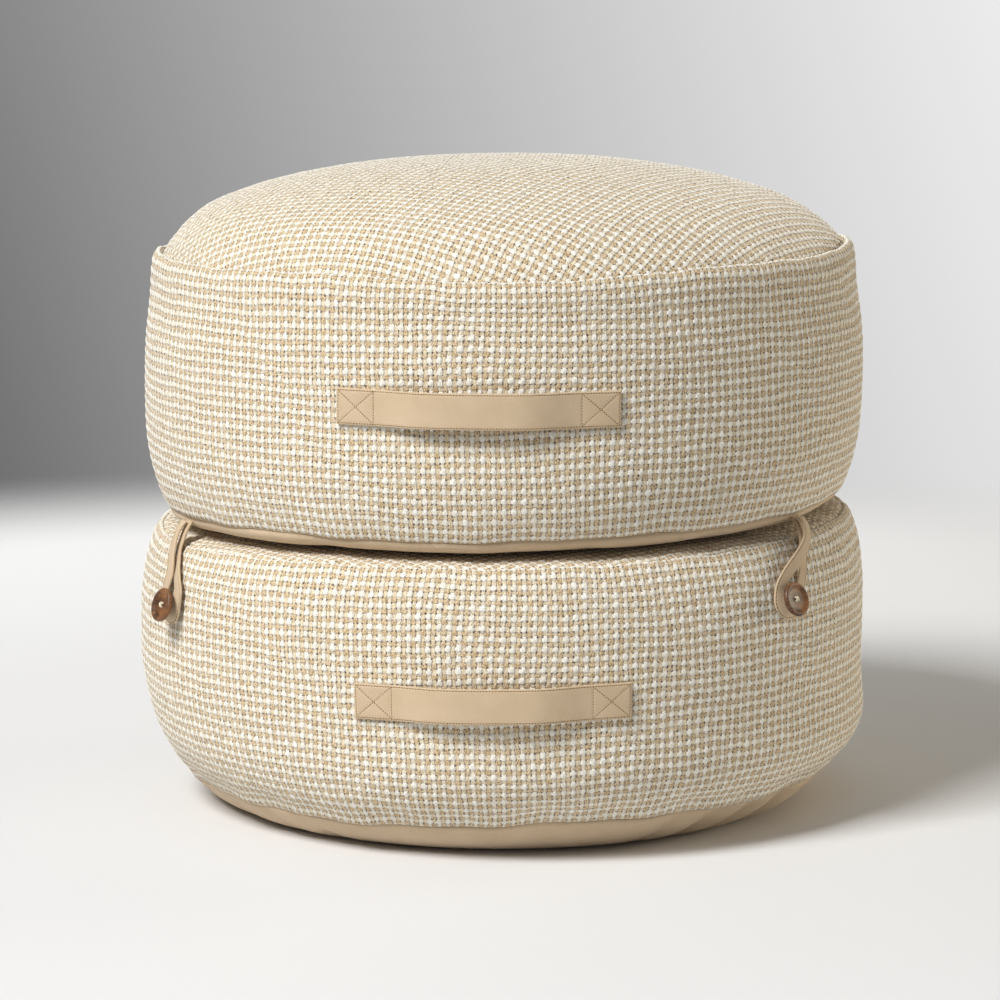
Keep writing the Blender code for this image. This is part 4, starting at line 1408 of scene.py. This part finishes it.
def light_stage():
    """A large soft key from the front left, a low warm light from the right, a pool of light behind."""
    area_light("key", KEY_PLACE, KEY_AIM, KEY_SIZE, KEY_POWER)
    area_light("side", SIDE_PLACE, SIDE_AIM, SIDE_SIZE, SIDE_POWER, SIDE_TINT)
    area_light("back", BACK_PLACE, BACK_AIM, BACK_SIZE, BACK_POWER, spread=BACK_SPREAD)
    light_room()
    bpy.context.scene.view_settings.view_transform = "Standard"
    bpy.context.scene.view_settings.look = "None"


def make_camera():
    data = bpy.data.cameras.new("camera")
    data.lens = CAMERA_LENS
    data.sensor_width = CAMERA_SENSOR
    camera = bpy.data.objects.new("camera", data)
    camera.location = CAMERA_PLACE
    camera.rotation_euler = (math.radians(90.0 - CAMERA_DOWN), 0.0, 0.0)
    bpy.context.scene.collection.objects.link(camera)
    bpy.context.scene.camera = camera


def make_cushions(woven, canvas):
    """The two filled bodies, the woven panels on top of them and the canvas ones under them."""
    for cushion, base, band, count in (
        ("lower", LOWER_BASE, LOWER_BAND, LOWER_ROUND),
        ("upper", UPPER_BASE, UPPER_BAND, UPPER_ROUND),
    ):
        body = make_band(f"{cushion}_cushion_band", base[-1], band, count, woven)
        finish_piece(body, [f"{cushion}_cushion"])

    crown = [(CROWN_RADIUS * share, CROWN_SEAM_HEIGHT + CROWN_RISE * rise) for share, rise in CROWN]
    for cushion, outline, turn in (("upper", crown, UPPER_TOP_TURN), ("lower", LOWER_TOP, LOWER_TOP_TURN)):
        line = Line(outline)
        top = make_woven_disc(f"{cushion}_top_cloth", line, turn, woven)
        finish_piece(top, [f"{cushion}_top_panel"])

    for cushion, outline, rows in (
        ("lower", LOWER_BASE, LOWER_CREASES),
        ("upper", UPPER_BASE, UPPER_CREASES),
    ):
        line = Line(outline)
        base = make_base(f"{cushion}_base_canvas", line, creases(rows), canvas)
        finish_piece(base, [f"{cushion}_base_panel"])


def make_handle(cushion, line, row, canvas, thread, shadow):
    """A carrying strap, both its ends sewn to a band with a box and a cross."""
    azimuth, height, length, slope = row
    name = f"{cushion}_handle"
    place = handle_place(line, azimuth, height, length, slope)
    lines = handle_stitch_lines(length)
    size = (length, HANDLE_WIDTH, HANDLE_THICKNESS)
    strap = make_strap(f"{name}_strap", place, size, lines, canvas, HANDLE_STEP, HANDLE_COUNT)
    finish_piece(strap, [name])
    stitching = make_stitching(f"{name}_stitching", place, HANDLE_THICKNESS, lines, thread, shadow)
    finish_piece(stitching, [])


def make_loop(name, place, length, canvas, thread, shadow):
    """A loop of narrow tape, stitched along the edge that was turned in."""
    edge = LOOP_WIDTH / 2.0 - LOOP_STITCH_INSET
    lines = [((-length / 2.0, edge), (length / 2.0, edge))]
    size = (length, LOOP_WIDTH, LOOP_THICKNESS)
    loop = make_strap(f"loop_{name}_tape", place, size, lines, canvas, LOOP_STEP, LOOP_COUNT)
    finish_piece(loop, [f"loop_{name}"])
    stitching = make_stitching(f"loop_{name}_stitching", place, LOOP_THICKNESS, lines, thread, shadow)
    finish_piece(stitching, [])


def fit_button(name, azimuth, swing, tilt, shell, thread):
    """A button where the frame holds it, facing outwards and up a little, and its thread."""
    turned = button_turn(azimuth, swing, tilt)
    low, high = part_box(f"button_{name}")
    middle = (low + high) / 2.0
    back = middle - turned.to_3x3() @ Vector((0.0, 0.0, BUTTON_THICKNESS / 2.0))
    button = make_button(f"button_{name}_shell", shell)
    inwards = turned.to_3x3().inverted() @ Vector(on_ring(azimuth, -1.0, 0.0))
    wound = make_thread(f"thread_{name}_wound", SHANK_LENGTH[name], inwards, thread)
    for made in (button, wound):
        made.matrix_world = Matrix.Translation(back) @ turned
    finish_piece(button, [f"button_{name}"])
    finish_piece(wound, [f"thread_{name}"])


def main():
    make_camera()
    make_stage()
    light_stage()
    woven = woven_cotton()
    canvas = plain_canvas("pressed_canvas", "#D4BD9F", "#CDB696", "#9C7E56")
    shell = coconut_shell()
    strap_thread = cotton_thread("strap_thread", "#C4A578", "#9A7A4C")
    cream_thread = cotton_thread("cream_thread", "#EADFC8", "#C9B896")
    shadow = needle_shadow()
    make_cushions(woven, canvas)
    sides = {
        "upper": band_line(UPPER_BASE[-1], UPPER_BAND),
        "lower": band_line(LOWER_BASE[-1], LOWER_BAND),
    }
    for cushion, *row in HANDLES:
        make_handle(cushion, sides[cushion], row, canvas, strap_thread, shadow)
    for name, sewn, azimuth, height, swing, tilt, pull in FASTENINGS:
        place, length = loop_place(sewn, azimuth, height, pull)
        make_loop(name, place, length, canvas, strap_thread, shadow)
        fit_button(name, azimuth, swing, tilt, shell, cream_thread)


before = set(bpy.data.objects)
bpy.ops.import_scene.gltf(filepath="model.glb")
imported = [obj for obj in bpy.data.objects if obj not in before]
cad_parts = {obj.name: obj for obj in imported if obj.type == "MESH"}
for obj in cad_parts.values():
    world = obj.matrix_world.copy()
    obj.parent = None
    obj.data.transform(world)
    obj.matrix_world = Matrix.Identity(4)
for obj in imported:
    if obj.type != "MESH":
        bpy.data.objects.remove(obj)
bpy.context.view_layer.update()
main()
